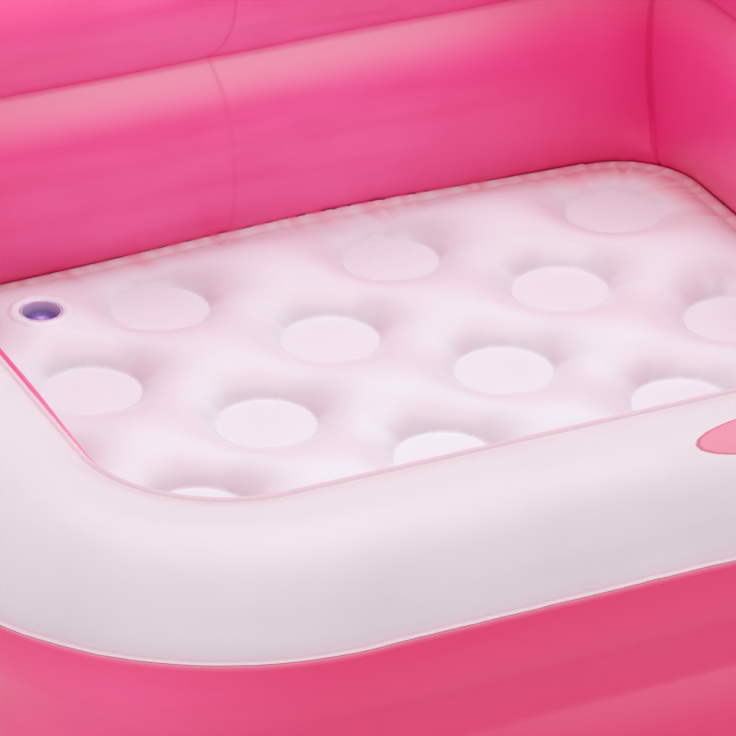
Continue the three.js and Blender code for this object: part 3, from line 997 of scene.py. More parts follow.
ovals = {
    "halfLength": 0.0525,
    "halfHeight": 0.0143,
    "angle": 73.6,  # on the rings' section, so that they face outwards and up
}


# How deep each point lies in its side's printed oval: 1 in the middle and under 0 outside
def markOvals(piece, placed):
    offset, facing, _, _, held = planOf(placed)
    down = np.where(np.abs(facing[:, 0]) > pool["sideFacing"], held[:, 1], held[:, 0])
    up = (placed[:, 2] - upperMiddle) / upperRise
    angle = np.degrees(np.arctan2(up, offset / halfWidth))
    across = (angle - ovals["angle"]) * radians(1) * halfWidth
    depth = 1 - np.hypot(down / ovals["halfLength"], across / ovals["halfHeight"])
    writeMask(piece, "print", np.where(onSides(facing), np.maximum(depth, -1), -1))


valves = {
    "rimRadius": 0.013,
    "rimRise": 0.0006,
    "cupBaseRadius": 0.012,
    "cupWall": 0.0012,
    "cupDepth": 0.012,
    "cupFloor": 0.0015,
    "flangeRadius": 0.0185,
    "flangeThickness": 0.0012,
    "stemRadius": 0.0063,
    "stemSink": 0.0065,
    "stemLength": 0.017,
    "stopRadius": 0.008,
    "stopThickness": 0.0015,
    "socketRadius": 0.0043,
    "socketDepth": 0.008,
    "seatRadius": 0.0032,
    "seatThickness": 0.001,
    "throatRadius": 0.0051,
    "flapRadius": 0.0042,
    "flapThickness": 0.0008,
    "flapBevel": 0.0014,
    "flapDish": 0.0002,
    "capRadius": 0.008,
    "capThickness": 0.002,
    "capEdge": 0.0012,
    "capDish": 0.0009,
    "buttonRadius": 0.0022,
    "plugLength": 0.007,
    "plugTaper": (0.0008, 0.0012),
    "strapWidth": 0.004,
    "strapThickness": 0.0008,
    "strapReach": 0.0099,
    "strapRootDepth": 0.003,
    "strapTopDepth": 0.0006,
    "strapEnds": (0.001, 0.0012),  # where the strap starts to stretch, and where that stops
    "cupShadeSpan": (0.003, 0.010),
    "buttonHighlightWidth": 0.0036,
    "weldMark": 0.0006,  # how far the flange under the film lifts it
    "markEdge": 0.0012,
    "markGroove": 0.0018,
    "grooveShare": 0.5,
    "markDepth": 0.03,  # film within this of the valve, along its axis, is marked
    "dentDepth": 0.05,
    "dentSpan": (0.014, 0.034),  # the outer wall's valley eases into the ring's curve over this
    "meshReach": 0.026,
    "steps": 64,
    "cutterLength": 0.02,
    "neckInsets": (0.0002, 0.0001),  # the cup is this much slimmer below and above its flange
    "dishSlope": 0.001,
    "dishCrown": 0.0001,
    "buttonSlope": 0.0008,
    "buttonSink": 0.0002,
    "flangeClear": 0.0005,
    "edgeAngle": 40,
}
softEdges = {"base": 0.0003, "stem": 0.0002, "stopper": 0.00035, "flap": 0.00015, "strap": 0.00015}
ringValves = ("upper_ring", "lower_ring")
ringValveOffset = 0.150
discPitch = 0.078
lastRow = 3
floorValveLevel = 0.026


# A valve's frame: its origin is on the film's outer face and its +Z points out of the chamber
def valvePlace(x, y, z, tilt):
    return Matrix.Translation((x, y, z)) @ Matrix.Rotation(radians(tilt - 90), 4, "X")


def ringValvePlace(x, point, angle, rise):
    offset, level = point(angle)
    lean = np.degrees(np.arctan2(sin(radians(angle)) / rise, cos(radians(angle)) / halfWidth))
    return valvePlace(x, centreLine + offset, level, lean)


valvePlaces = {
    "floor": valvePlace((1 - lastRow) * discPitch, lastRow * discPitch, floorValveLevel, 90),
    "upper_ring": ringValvePlace(ringValveOffset, upperPoint, pool["upperValve"], upperRise),
    "lower_ring": ringValvePlace(-ringValveOffset, lowerPoint, pool["lowerValve"], lowerRise),
}
wallRadii = {"upper_ring": 0.062, "lower_ring": 0.078}  # how the ring's section curves there


def insideValve(points, name):
    inverse = np.array(valvePlaces[name].inverted())
    local = points @ inverse[:3, :3].T + inverse[:3, 3]
    return np.hypot(local[:, 0], local[:, 1]), np.abs(local[:, 2])


# Round a valve the film keeps the ring's own curve, and it stands a little proud over the flange
def raiseFlange(piece, name):
    points = readPoints(piece)
    offset, facing = planOf(points)[:2]
    level = points[:, 2]
    radius, away = insideValve(points, name)
    near = (1 - smoothStep(radius, *valves["dentSpan"])) * (offset > 0) * (away < valves["dentDepth"])
    sink = (ringOffset(level) - valleyOffset(level)) * near * onValley(level)
    points += facing * sink[:, None]
    writePoints(piece, points)
    normals = readPoints(piece, "normal")
    radius, away = insideValve(points, name)
    edge, width = valves["flangeRadius"], valves["markEdge"]
    mark = 1 - smoothStep(radius, edge - width, edge + width)
    mark -= valves["grooveShare"] * bell(radius - edge - valves["markGroove"], width)
    lift = valves["weldMark"] * mark * (away < valves["markDepth"])
    writePoints(piece, points + normals * lift[:, None])


def refineValve(piece, name):
    inverse = valvePlaces[name].inverted()

    def nearValve(face):
        local = inverse @ face.calc_center_median()
        return local.xy.length < valves["meshReach"] and abs(local.z) < valves["markDepth"]

    startEdit(piece)
    refine("FACE", 2, nearValve)
    endEdit()


def cutValveHole(piece, name):
    clearSelection()
    radius = valves["rimRadius"] + pool["gap"]
    steps, depth = valves["steps"], valves["cutterLength"]
    bpy.ops.mesh.primitive_cylinder_add(vertices=steps, radius=radius, depth=depth)
    cutter = bpy.context.object
    cutter.data.transform(valvePlaces[name])
    hole = piece.modifiers.new("valveHole", "BOOLEAN")
    hole.operation = "DIFFERENCE"
    hole.solver = "EXACT"
    hole.object = cutter
    applyModifiers(piece)
    bpy.data.objects.remove(cutter)


# Ring films
topFilm = sweepFilm("topFilm", topLine())
facePiece(topFilm, (centreLine, 0, height), (0, 0, 1))
placed = sculptFilm(topFilm, (pool["outerSeam"], pool["innerSeam"]), 11)
markOvals(topFilm, placed)
thicken(topFilm, pool["film"])
finishPiece(topFilm, materials["white_vinyl"], "pool", "top_sheet")
print("top film", len(topFilm.data.polygons))

innerFilm = sweepFilm("innerFilm", innerLine())
refineLap(innerFilm)
facePiece(innerFilm, (centreLine - halfWidth, 0, pool["bulgeLevel"]), (-1, 0, 0))
sculptFilm(innerFilm, (pool["innerSeam"],), 21)
addLap(innerFilm)
thicken(innerFilm, pool["film"])
finishPiece(innerFilm, materials["pink_vinyl"], "pool", "inner_wall_sheet")
print("inner film", len(innerFilm.data.polygons))

outerFilm = sweepFilm("outerFilm", outerLine())
for name in ringValves:
    refineValve(outerFilm, name)
facePiece(outerFilm, (centreLine + halfWidth, 0, pool["bulgeLevel"]), (1, 0, 0))
sculptFilm(outerFilm, (pool["outerSeam"],), 31)
for name in ringValves:
    raiseFlange(outerFilm, name)
thicken(outerFilm, pool["film"])
for name in ringValves:
    cutValveHole(outerFilm, name)
finishPiece(outerFilm, outerVinyl, "pool", "outer_wall_sheet")
print("outer film", len(outerFilm.data.polygons))

floor = {
    "step": 0.004,
    "solveStep": 0.002,
    "solveRounds": 420,
    "overshoot": 1.93,  # how boldly each round moves a point, under 2
    "slopeStep": 0.003,
    "discRadius": 0.030,
    "weldLevel": 0.010,
    "weldBands": (0.005, 0.002),  # the mesh is finer this near to a weld, and again nearer
    "bossRadius": 0.0205,
    "bossLevel": floorValveLevel,
    "edgeLevel": pool["floorLevel"],
    "stripWidth": 0.010,
    "climb": 0.007,  # how far up a wall the gathered edge is drawn, and where and how widely
    "climbPlace": -0.06,
    "climbSpan": 0.15,
    "climbReach": 0.026,
    "edgeOffset": -0.0552,  # just clear of the wall
    "easeWidth": 0.009,
    "stripEase": 0.016,
    "pleatPitch": 0.0145,
    "pleatHeight": 0.0015,
    "pleatReach": 0.030,
    "pleatLean": 0.25,
    "pleatWobble": 1.6,
    "pleatStart": 0.004,
    "pleatFade": 0.016,
    "pleatReaches": (0.6, 0.4),  # shares of the reach: everywhere, and more at a blob
    "pleatStrength": (0.3, 0.9, 2),  # everywhere, more at a blob or a corner, and at most
    "ridgePower": 1.3,
    "ridgeMean": 0.35,
    "discPucker": 0.0003,
    "puckerReach": 0.012,
    "puckerStart": 0.004,
    "fanCounts": (9, 5),  # at least so many puckers round a disc, and how far that varies
    "fanTurn": 2.1,
    "fineCounts": (14, 3),
    "fineShare": 0.6,
    "bossPuff": 0.0019,
    "snapReach": 0.00075,
    "wallReach": 0.03,
    "lightSide": (0.6, 0.8),  # slopes that fall away from here get painted rosy shade
    "pressure": 18,
    "leanCounts": (11, 19, 37),  # whole counts of waves round the floor
    "wobbleCounts": (17, 31, 53),
    "blobCounts": (41, 67, 89),
    "blobRange": (-0.4, 1.2),
    "smoothAngle": 60,
}
floorMarks = {
    "slopeRange": (0.02, 0.4),
    "slopeInset": (0.012, 0.03),
    "slopeTop": (0.022, 0.03),
    "discEdge": (-0.001, 0.0005),
    "edgeShadeStrength": 0.8,
    "edgeShadeSpan": (0.0004, 0.003),
    "stripSpan": 0.05,  # the rosy strip, with its painted bounce and shade, is wider and stronger this near to a corner
    "stripStart": (0.001, 0.012),  # along the sides, and how much more near a corner
    "stripEnd": (0.029, 0.010, 0.014),  # along the sides, more at a blob and more near a corner
    "stripStrength": (0.46, 0.22, 0.2, 0.6),  # plain, more at both, less on a ridge where the painted shade lifts, and at most
}
floorBoss = valvePlaces["floor"].translation


# A flat grid whose square corners are drawn round to the wall's own corners
def flatSheet(name, reach, step):
    clearSelection()
    cells = round(2 * reach / step)
    bpy.ops.mesh.primitive_grid_add(x_subdivisions=cells, y_subdivisions=cells, size=2 * reach)
    piece = bpy.context.object
    piece.name = name
    points = readPoints(piece)
    out = np.abs(points[:, :2]) - cornerAt
    far = np.max(out, axis=1)
    larger = np.maximum(far, 1e-9)
    angle = np.where(out[:, 0] >= out[:, 1], out[:, 1] / larger, 2 - out[:, 0] / larger) * pi / 4
    drawn = cornerAt + far[:, None] * np.stack([np.cos(angle), np.sin(angle)], axis=1)
    inCorner = np.all(out > 0, axis=1)[:, None]
    points[:, :2] = np.where(inCorner, np.sign(points[:, :2]) * drawn, points[:, :2])
    writePoints(piece, points)
    return piece


def nearestDisc(points):
    rows = range(-lastRow, lastRow + 1)
    centres = np.array([(i, j) for i in rows for j in rows if (i + j) % 2 == 0]) * discPitch
    away = points[:, None, :2] - centres[None]
    distance = np.hypot(away[..., 0], away[..., 1])
    nearest = distance.argmin(axis=1)
    return distance.min(axis=1), centres[nearest], nearest


# How far points lie inside the floor's edge, or 1 where they are well inside it
def insetOf(points):
    middle = np.max(np.abs(points[:, :2]), axis=1) < cornerAt
    return np.where(middle, 1.0, floor["edgeOffset"] - planOf(points)[0])


# A skin blown up between its welds: each point's height is the mean of its neighbours' plus a lift
def blownHeights():
    reach = centreLine + floor["edgeOffset"]
    count = round(2 * reach / floor["solveStep"]) + 1
    line = np.linspace(-reach, reach, count)
    x, y = np.meshgrid(line, line, indexing="ij")
    flat = np.stack([x.ravel(), y.ravel(), np.zeros(x.size)], axis=1)
    inset = insetOf(flat)
    onDisc = nearestDisc(flat)[0] <= floor["discRadius"]
    fromBoss = np.hypot(flat[:, 0] - floorBoss.x, flat[:, 1] - floorBoss.y)
    heights = np.full(x.size, floor["weldLevel"])
    heights = np.where(inset < floor["stripWidth"], floor["edgeLevel"], heights)
    heights = np.where(fromBoss < floor["bossRadius"], floor["bossLevel"], heights).reshape(x.shape)
    held = onDisc | (inset <= floor["stripWidth"]) | (fromBoss <= floor["bossRadius"])
    free = ~held.reshape(x.shape)
    free[[0, -1]] = False
    free[:, [0, -1]] = False
    parity = np.add.outer(np.arange(count), np.arange(count)) % 2
    lift = floor["pressure"] * floor["solveStep"] ** 2 / 4
    mean = np.zeros_like(heights)
    for _ in range(floor["solveRounds"]):
        for half in (0, 1):
            besides = heights[:-2, 1:-1] + heights[2:, 1:-1]
            mean[1:-1, 1:-1] = (besides + heights[1:-1, :-2] + heights[1:-1, 2:]) / 4
            chosen = free & (parity == half)
            heights[chosen] += floor["overshoot"] * (mean[chosen] + lift - heights[chosen])
    return heights, reach, count


def sample(solved, places):
    heights, reach, count = solved
    cell = np.clip((places[:, :2] + reach) / (2 * reach) * (count - 1), 0, count - 1.001)
    i, j = cell.astype(int).T
    p, q = (cell % 1).T
    return (
        heights[i, j] * (1 - p) * (1 - q)
        + heights[i + 1, j] * p * (1 - q)
        + heights[i, j + 1] * (1 - p) * q
        + heights[i + 1, j + 1] * p * q
    )


# How far the foot of the wall stands inside the centre line at a height
def halfFootWall(level):
    down = np.clip((pool["bulgeLevel"] - level) / (pool["bulgeLevel"] - pool["footLevel"]), 0, 1)
    return pool["halfFoot"] + (halfWidth - pool["halfFoot"]) * np.sqrt(1 - down**2)


# Near a weld the height follows one smooth curve from the weld's edge to the blown skin
def easeFrom(heights, solved, points, distance, outward, level, width):
    end = points[:, :2] + outward[:, :2] * (width - distance)[:, None]
    endHeight = sample(solved, end)
    beyond = sample(solved, end + outward[:, :2] * floor["slopeStep"])
    slope = (beyond - endHeight) / floor["slopeStep"]
    rise = endHeight - level
    bend = slope * width - rise
    share = np.clip(distance / width, 0, 1)
    eased = level + (rise - bend) * share + bend * share**2
    return np.where((distance >= 0) & (distance < width), eased, heights)


def nearWeld(width):
    def test(face):
        place = face.calc_center_median().xy
        column, row = round(place.x / discPitch), round(place.y / discPitch)
        for i in (column - 1, column, column + 1):
            for j in (row - 1, row, row + 1):
                if (i + j) % 2 == 0 and max(abs(i), abs(j)) <= lastRow:
                    away = (place - Vector((i, j)) * discPitch).length
                    if abs(away - floor["discRadius"]) < width:
                        return True
        return abs((place - floorBoss.xy).length - floor["bossRadius"]) < width

    return test


def nearWall(face):
    place = face.calc_center_median()
    outX, outY = abs(place.x) - cornerAt, abs(place.y) - cornerAt
    reach = sqrt(outX**2 + outY**2) if outX > 0 and outY > 0 else max(outX, outY)
    return pool["cornerRadius"] + floor["edgeOffset"] - reach < floor["pleatReach"]


def snapToCircle(points, centres, radius):
    away = points[:, :2] - centres
    distance = np.hypot(away[:, 0], away[:, 1])
    near = np.abs(distance - radius) < floor["snapReach"]
    share = np.where(near, radius / np.maximum(distance, 1e-9), 1)[:, None]
    points[:, :2] = centres + away * share


# The skin between its welds, with puckers that run out from each weld and pleats from the wall
def shapeFloor(piece):
    points = readPoints(piece)
    boss = np.array([[floorBoss.x, floorBoss.y]])
    snapToCircle(points, nearestDisc(points)[1], floor["discRadius"])
    snapToCircle(points, boss, floor["bossRadius"])
    solved = blownHeights()
    print("floor skin's crest %.4f" % sample(solved, np.array([[discPitch, 0.0]]))[0])

    distance, centres, disc = nearestDisc(points)
    fromDisc = distance - floor["discRadius"]
    fromMiddle = (points[:, :2] - centres) / np.maximum(distance, 1e-9)[:, None]
    toBoss = points[:, :2] - boss
    distance = np.hypot(toBoss[:, 0], toBoss[:, 1])
    fromBoss = distance - floor["bossRadius"]
    toBoss /= np.maximum(distance, 1e-9)[:, None]
    offset, facing, turn, straight, _ = planOf(points)
    inset = insetOf(points)
    fromStrip = inset - floor["stripWidth"]
    heights = sample(solved, points)
    for edge in (
        (fromStrip, -facing, floor["edgeLevel"], floor["stripEase"]),
        (fromDisc, fromMiddle, floor["weldLevel"], floor["easeWidth"]),
        (fromBoss, toBoss, floor["bossLevel"], floor["easeWidth"]),
    ):
        heights = easeFrom(heights, solved, points, *edge)
    heights = np.where(fromDisc <= 0, floor["weldLevel"], heights)
    heights = np.where(fromStrip <= 0, floor["edgeLevel"], heights)
    puffSpan = floor["bossRadius"] - valves["rimRadius"]
    puff = floor["bossPuff"] * np.sin(pi * np.clip(-fromBoss / puffSpan, 0, 1))
    heights = np.where(fromBoss <= 0, floor["bossLevel"] + puff, heights)

    angle = np.arctan2(fromMiddle[:, 1], fromMiddle[:, 0])
    least, spread = floor["fanCounts"]
    fan = np.sin(angle * (least + disc % spread) + disc * floor["fanTurn"])
    least, spread = floor["fineCounts"]
    fan += floor["fineShare"] * np.sin(angle * (least + disc % spread) + disc)
    fan *= np.exp(-fromDisc / floor["puckerReach"]) * smoothStep(fromDisc, 0, floor["puckerStart"])
    heights += floor["discPucker"] * fan
    edgeRadius = pool["cornerRadius"] + floor["edgeOffset"]
    along = alongOf(turn, straight, edgeRadius)
    length = loopLength(edgeRadius)
    leant = along + inset * waves(along, length, floor["leanCounts"], 8) * floor["pleatLean"]
    wobble = floor["pleatWobble"] * waves(leant, length, floor["wobbleCounts"], 5)
    pleatCount = round(length / floor["pleatPitch"])
    ridge = 0.5 + 0.5 * np.cos(2 * pi * pleatCount * leant / length + wobble)
    corner = np.sin(2 * turn) ** 2
    blob = smoothStep(waves(along, length, floor["blobCounts"], 9), *floor["blobRange"])
    plain, more = floor["pleatReaches"]
    reachIn = smoothStep(floor["pleatReach"] * (plain + more * blob) - inset, 0, floor["pleatFade"])
    reachIn *= smoothStep(inset, 0, floor["pleatStart"])
    plain, more, most = floor["pleatStrength"]
    strength = np.minimum(plain + more * blob + more * corner, most)
    ridges = ridge ** floor["ridgePower"] - floor["ridgeMean"]
    heights += floor["pleatHeight"] * ridges * strength * reachIn
    fromClimb = straight - sideOf(turn) * 2 * cornerAt - floor["climbPlace"]
    climb = floor["climb"] * bell(fromClimb, floor["climbSpan"])
    heights += climb * (1 - smoothStep(inset, 0, floor["climbReach"]))
    wallAt = -halfFootWall(heights) - 2 * pool["gap"]
    drawnIn = np.minimum(wallAt - offset, 0) * (inset < floor["wallReach"])
    points[:, :2] += facing[:, :2] * drawnIn[:, None]
    points[:, 2] = heights
    writePoints(piece, points)

    # Masks for the vinyl: painted shade on slopes, flat discs, the gathered strip (partly tint, partly
    # painted bounce and shade) and painted shade along the edge
    normals = readPoints(piece, "normal")
    # Painted rosy shade on slopes that face away from the light side
    toLight = normals[:, 0] * floor["lightSide"][0] + normals[:, 1] * floor["lightSide"][1]
    steep = smoothStep(-toLight, *floorMarks["slopeRange"])
    steep *= smoothStep(inset, *floorMarks["slopeInset"])
    writeMask(piece, "slope", steep * (1 - smoothStep(heights, *floorMarks["slopeTop"])))
    writeMask(piece, "disc", 1 - smoothStep(fromDisc, *floorMarks["discEdge"]))
    # Painted crimson shade along the film's gathered edge, where it meets the wall
    gathered = 1 - smoothStep(inset, *floorMarks["edgeShadeSpan"])
    writeMask(piece, "edge", floorMarks["edgeShadeStrength"] * gathered)
    # The rosy strip: the gathered film's tint plus painted bounce and shade, stronger near corners and
    # weaker on pleat ridges
    fromCorner = np.maximum(cornerAt - np.min(np.abs(points[:, :2]), axis=1), 0)
    near = bell(fromCorner, floorMarks["stripSpan"])
    start, startNear = floorMarks["stripStart"]
    end, endBlob, endNear = floorMarks["stripEnd"]
    band = 1 - smoothStep(inset, start + startNear * near, end + endBlob * blob + endNear * near)
    plain, more, less, most = floorMarks["stripStrength"]
    strip = np.minimum(plain + more * blob * (1 - near) + more * near - less * ridge, most)
    writeMask(piece, "strip", np.clip(band * strip, 0, 1))


floorFilm = flatSheet("floorFilm", centreLine + floor["edgeOffset"], floor["step"])
startEdit(floorFilm)
refine("FACE", 1, nearWall)
for width in floor["weldBands"]:
    refine("FACE", 1, nearWeld(width))
endEdit()
facePiece(floorFilm, (0, 0, 0), (0, 0, 1))
shapeFloor(floorFilm)
thicken(floorFilm, pool["film"], False)
cutValveHole(floorFilm, "floor")
pearlVinyl, smoothAngle = materials["pearl_vinyl"], floor["smoothAngle"]
finishPiece(floorFilm, pearlVinyl, "pool", "floor_top_sheet", smoothAngle)
print("floor film", len(floorFilm.data.polygons))

base = {
    "step": 0.007,
    "rimInset": 0.011,
    "slope": 0.060,
    "saddleShare": 0.5,
}


# The film under the pool, drawn up to the floor's discs
def makeBase():
    piece = flatSheet("baseFilm", centreLine + pool["halfFoot"], base["step"])
    points = readPoints(piece)
    raised = floor["weldLevel"] - pool["film"] - pool["gap"]
    fromDisc = nearestDisc(points)[0] - floor["discRadius"]
    wave = np.cos(pi * points[:, 0] / discPitch) * np.cos(pi * points[:, 1] / discPitch)
    near = base["saddleShare"] * (1 + wave)
    far = np.max(np.abs(points[:, :2]), axis=1)
    inset = centreLine - halfWidth - base["rimInset"] - far
    share = np.clip(inset / base["slope"], 0, 1)
    level = pool["film"] + (raised - pool["film"]) * near**2 * share
    points[:, 2] = np.where(fromDisc < 0, raised, level)
    writePoints(piece, points)
    facePiece(piece, (0, 0, raised), (0, 0, 1))
    thicken(piece, pool["film"])
    finishPiece(piece, materials["base_vinyl"], "pool", "base_sheet")
    return piece


baseFilm = makeBase()
print("base film", len(baseFilm.data.polygons))


# A round piece: its profile of radius and height, spun once about the valve's axis
def turnPiece(name, profile, edge, segments=2):
    piece = drawLine(name, [(radius, 0, level) for radius, level in profile])
    bpy.ops.mesh.remove_doubles(threshold=1e-6)
    selectAll()
    bpy.ops.mesh.spin(steps=valves["steps"], angle=2 * pi, center=(0, 0, 0), axis=(0, 0, 1))
    selectAll()
    bpy.ops.mesh.remove_doubles(threshold=1e-6)
    bpy.ops.mesh.normals_make_consistent(inside=False)
    endEdit()
    softenEdges(piece, edge, segments)
    return piece


def softenEdges(piece, width, segments=2):
    bevel = piece.modifiers.new("edges", "BEVEL")
    bevel.width = width
    bevel.segments = segments
    bevel.limit_method = "ANGLE"
    bevel.angle_limit = radians(valves["edgeAngle"])
    applyModifiers(piece)


stemTop = -valves["stemSink"]
stemBottom = stemTop - valves["stemLength"]
seatTop = stemTop - valves["socketDepth"]
seatBottom = seatTop - valves["seatThickness"]
flapTop = seatBottom - pool["gap"]
capBottom = stemTop + pool["gap"]
capTop = capBottom + valves["capThickness"]


# In a closed profile the last point is the first one again
def valveBase():
    hole = valves["stemRadius"] + pool["gap"]
    rim = valves["rimRadius"]
    cupFloor = -valves["cupDepth"]
    low = cupFloor - valves["cupFloor"]
    flangeTop = -pool["film"] - pool["gap"]
    flangeBottom = flangeTop - valves["flangeThickness"]
    below, above = valves["neckInsets"]
    profile = [
        (hole, low),
        (valves["cupBaseRadius"], low),
        (rim - below, flangeBottom),
        (valves["flangeRadius"], flangeBottom),
        (valves["flangeRadius"], flangeTop),
        (rim - above, flangeTop),
        (rim, 0),
        (rim, valves["rimRise"]),
        (rim - valves["cupWall"], valves["rimRise"]),
        (valves["cupBaseRadius"] - valves["cupWall"], cupFloor),
        (hole, cupFloor),
        (hole, low),
    ]
    piece = turnPiece("valveBase", profile, softEdges["base"])
    # Painted shade deepens the cup's colour downwards
    writeMask(piece, "deep", smoothStep(-readPoints(piece)[:, 2], *valves["cupShadeSpan"]))
    return piece


def valveStem():
    stopTop = stemBottom + valves["stopThickness"]
    profile = [
        (valves["throatRadius"], stemBottom),
        (valves["stopRadius"], stemBottom),
        (valves["stopRadius"], stopTop),
        (valves["stemRadius"], stopTop),
        (valves["stemRadius"], stemTop),
        (valves["socketRadius"], stemTop),
        (valves["socketRadius"], seatTop),
        (valves["seatRadius"], seatTop),
        (valves["seatRadius"], seatBottom),
        (valves["throatRadius"], seatBottom),
        (valves["throatRadius"], stemBottom),
    ]
    return turnPiece("valveStem", profile, softEdges["stem"])


# The cap has a raised edge, a dished top and a button in its middle to press
def valveStopper():
    plug = valves["socketRadius"] - pool["gap"]
    plugEnd = capBottom - valves["plugLength"]
    inward, upward = valves["plugTaper"]
    cap, edge = valves["capRadius"], valves["capEdge"]
    button, dish = valves["buttonRadius"], valves["capDish"]
    profile = [
        (0, plugEnd),
        (plug - inward, plugEnd),
        (plug, plugEnd + upward),
        (plug, capBottom),
        (cap, capBottom),
        (cap, capTop),
        (cap - edge, capTop),
        (cap - edge - valves["dishSlope"], capTop - dish + valves["dishCrown"]),
        (button + valves["buttonSlope"], capTop - dish),
        (button, capTop - valves["buttonSink"]),
        (0, capTop),
    ]
    piece = turnPiece("valveStopper", profile, softEdges["stopper"], 3)
    points = readPoints(piece)
    # Painted highlight on the button in the cap's middle
    thin = bell(np.hypot(points[:, 0], points[:, 1]), valves["buttonHighlightWidth"]) * (points[:, 2] > capBottom)
    writeMask(piece, "thin", thin)
    return piece


def valveFlap():
    radius, low = valves["flapRadius"], flapTop - valves["flapThickness"]
    profile = [
        (0, low),
        (radius, low),
        (radius, flapTop),
        (radius - valves["flapBevel"], flapTop),
        (0, flapTop - valves["flapDish"]),
    ]
    return turnPiece("valveFlap", profile, softEdges["flap"])


# A band from the stem's side, out and back to the stopper's edge
def valveStrap():
    thickness = valves["strapThickness"]
    root = stemTop - valves["strapRootDepth"] + thickness / 2
    end = capTop - valves["strapTopDepth"] - thickness / 2
    reach = valves["strapReach"] - thickness / 2
    bend = reach - thickness
    line = [
        (valves["stemRadius"] + pool["gap"], root),
        (bend, root),
        (reach, root + thickness),
        (reach, end - thickness),
        (bend, end),
        (valves["capRadius"] + pool["gap"], end),
    ]
    width = valves["strapWidth"]
    piece = drawLine("valveStrap", [(x, -width / 2, z) for x, z in line])
    bpy.ops.mesh.extrude_region_move(TRANSFORM_OT_translate={"value": (0, width, 0)})
    selectAll()
    bpy.ops.mesh.subdivide(number_cuts=2)
    bpy.ops.mesh.normals_make_consistent(inside=False)
    endEdit()
    solid = piece.modifiers.new("wall", "SOLIDIFY")
    solid.thickness = thickness
    solid.offset = 0
    softenEdges(piece, softEdges["strap"])
    return piece


patterns = {
    "base": valveBase(),
    "stem": valveStem(),
    "stopper": valveStopper(),
    "flap": valveFlap(),
    "strap": valveStrap(),
}


# A ring valve's flange is curved to the wall that it is welded to
def curveFlange(piece, wallRadius):
    points = readPoints(piece)
    clear = valves["flangeClear"]
    onFlange = np.hypot(points[:, 0], points[:, 1]) > valves["cupBaseRadius"] + clear
    onFlange &= points[:, 2] < -clear
    points[:, 2] -= np.where(onFlange, points[:, 1] ** 2 / wallRadius / 2, 0)
    writePoints(piece, points)


for name, place in valvePlaces.items():
    for kind, pattern in patterns.items():
        node = name + "_valve_" + kind
        slot = "valve_vinyl" if kind in ("base", "stem") else "stopper_vinyl"
        piece = pattern.copy()
        piece.data = pattern.data.copy()
        piece.name = node.replace("_", " ").title().replace(" ", "")
        bpy.context.collection.objects.link(piece)
        if kind == "base" and name in wallRadii:
            curveFlange(piece, wallRadii[name])
        piece.data.transform(place)
        if kind != "strap":
            finishPiece(piece, materials[slot], "pool" if kind == "base" else node, node)
            continue
        piece.data.materials.append(materials[slot])
        stemBody, stopperBody = name + "_valve_stem", name + "_valve_stopper"
        low, high = valves["strapEnds"]
        start = place @ Vector((valves["strapReach"], 0, stemTop - valves["strapRootDepth"] + low))
        end = place @ Vector((valves["strapReach"], 0, capTop - high))
        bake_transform(piece, stemBody, stopperBody, start=start, end=end)
        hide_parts(node)
for pattern in patterns.values():
    bpy.data.objects.remove(pattern)
print("valves placed")

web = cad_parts["ring_web"]
web.data.materials.clear()
web.data.materials.append(materials["clear_vinyl"])

# The camera fitted to the photograph
view = {
    "turn": -25.865,
    "tilt": 28.889,
    "roll": 0.752,
    "lens": 247.57,
    "sensor": 36,
    "distance": 3.3,
    "aim": (0.110749, 0.331873, -0.122652),
    "clipEnd": 50,
}


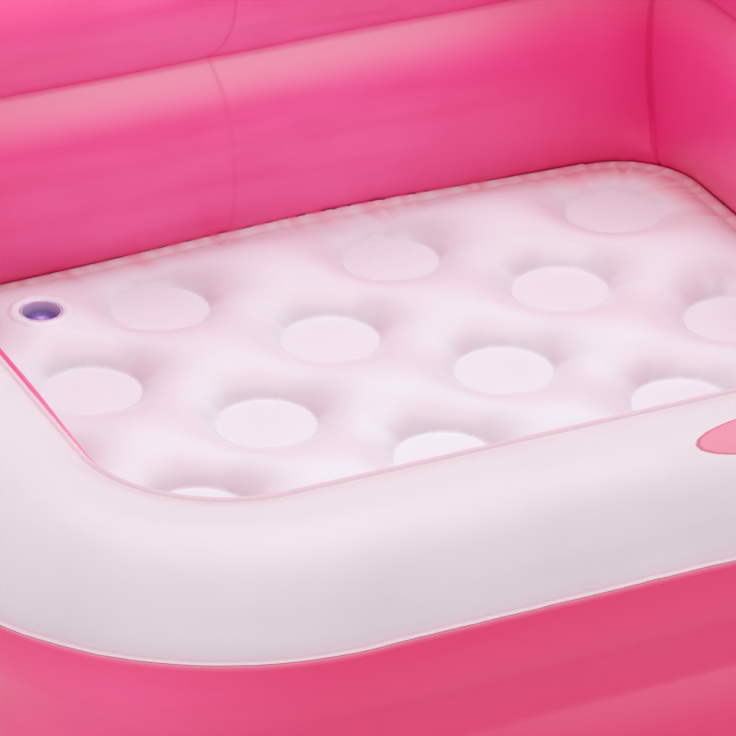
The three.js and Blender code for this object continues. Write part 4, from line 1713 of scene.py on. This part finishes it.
def placeCamera():
    turn, tilt, roll = (radians(view[name]) for name in ("turn", "tilt", "roll"))
    back = Vector((sin(turn) * cos(tilt), -cos(turn) * cos(tilt), sin(tilt)))
    level = Vector((cos(turn), sin(turn), 0))
    up = back.cross(level)
    across = level * cos(roll) + up * sin(roll)
    upright = up * cos(roll) - level * sin(roll)
    clearSelection()
    bpy.ops.object.camera_add()
    camera = bpy.context.object
    camera.data.lens = view["lens"]
    camera.data.sensor_width = view["sensor"]
    camera.data.clip_end = view["clipEnd"]
    turned = Matrix((across, upright, back)).transposed().to_4x4()
    camera.matrix_world = Matrix.Translation(Vector(view["aim"]) + back * view["distance"]) @ turned
    bpy.context.scene.camera = camera


light = {
    "overheadPlace": (0.35, 0.5, 2.4),
    "overheadSize": 2.0,
    "overheadPower": 22,
    "fillPlace": (-1.6, -2.4, 1.8),
    "fillSize": 2.5,
    "fillPower": 10,
    "world": 0.85,
}


def addLamp(place, size, power):
    clearSelection()
    bpy.ops.object.light_add(type="AREA", location=place)
    lamp = bpy.context.object
    lamp.data.shape = "SQUARE"
    lamp.data.size = size
    lamp.data.energy = power
    lamp.rotation_euler = Vector(place).to_track_quat("Z", "Y").to_euler()


def lightScene():
    addLamp(light["overheadPlace"], light["overheadSize"], light["overheadPower"])
    addLamp(light["fillPlace"], light["fillSize"], light["fillPower"])
    world = bpy.data.worlds.new("studio")
    bpy.context.scene.world = world
    world.use_nodes = True
    tree = world.node_tree
    background = tree.nodes["Background"]
    background.inputs["Color"].default_value = (1, 1, 1, 1)
    rays = addNode(tree, "ShaderNodeLightPath")
    seen = rays.outputs["Is Camera Ray"]
    for ray in ("Is Glossy Ray", "Is Transmission Ray"):
        seen = mathNode(tree, "MAXIMUM", seen, rays.outputs[ray])
    feed(tree, background.inputs["Strength"], ramp(tree, seen, 0, 1, light["world"], 1.0))


studio = {
    "size": 12,
    "level": -0.0002,
    "colour": (0.88, 0.87, 0.88, 1),
    "roughness": 0.7,
}


def layFloor():
    clearSelection()
    bpy.ops.mesh.primitive_plane_add(size=studio["size"], location=(0, 0, studio["level"]))
    ground = bpy.context.object
    ground.name = "studioFloor"
    material = bpy.data.materials.new("studioFloor")
    material.use_nodes = True
    shader = material.node_tree.nodes["Principled BSDF"]
    shader.inputs["Base Color"].default_value = studio["colour"]
    shader.inputs["Roughness"].default_value = studio["roughness"]
    ground.data.materials.append(material)


placeCamera()
lightScene()
layFloor()
bpy.context.scene.view_settings.view_transform = "Standard"
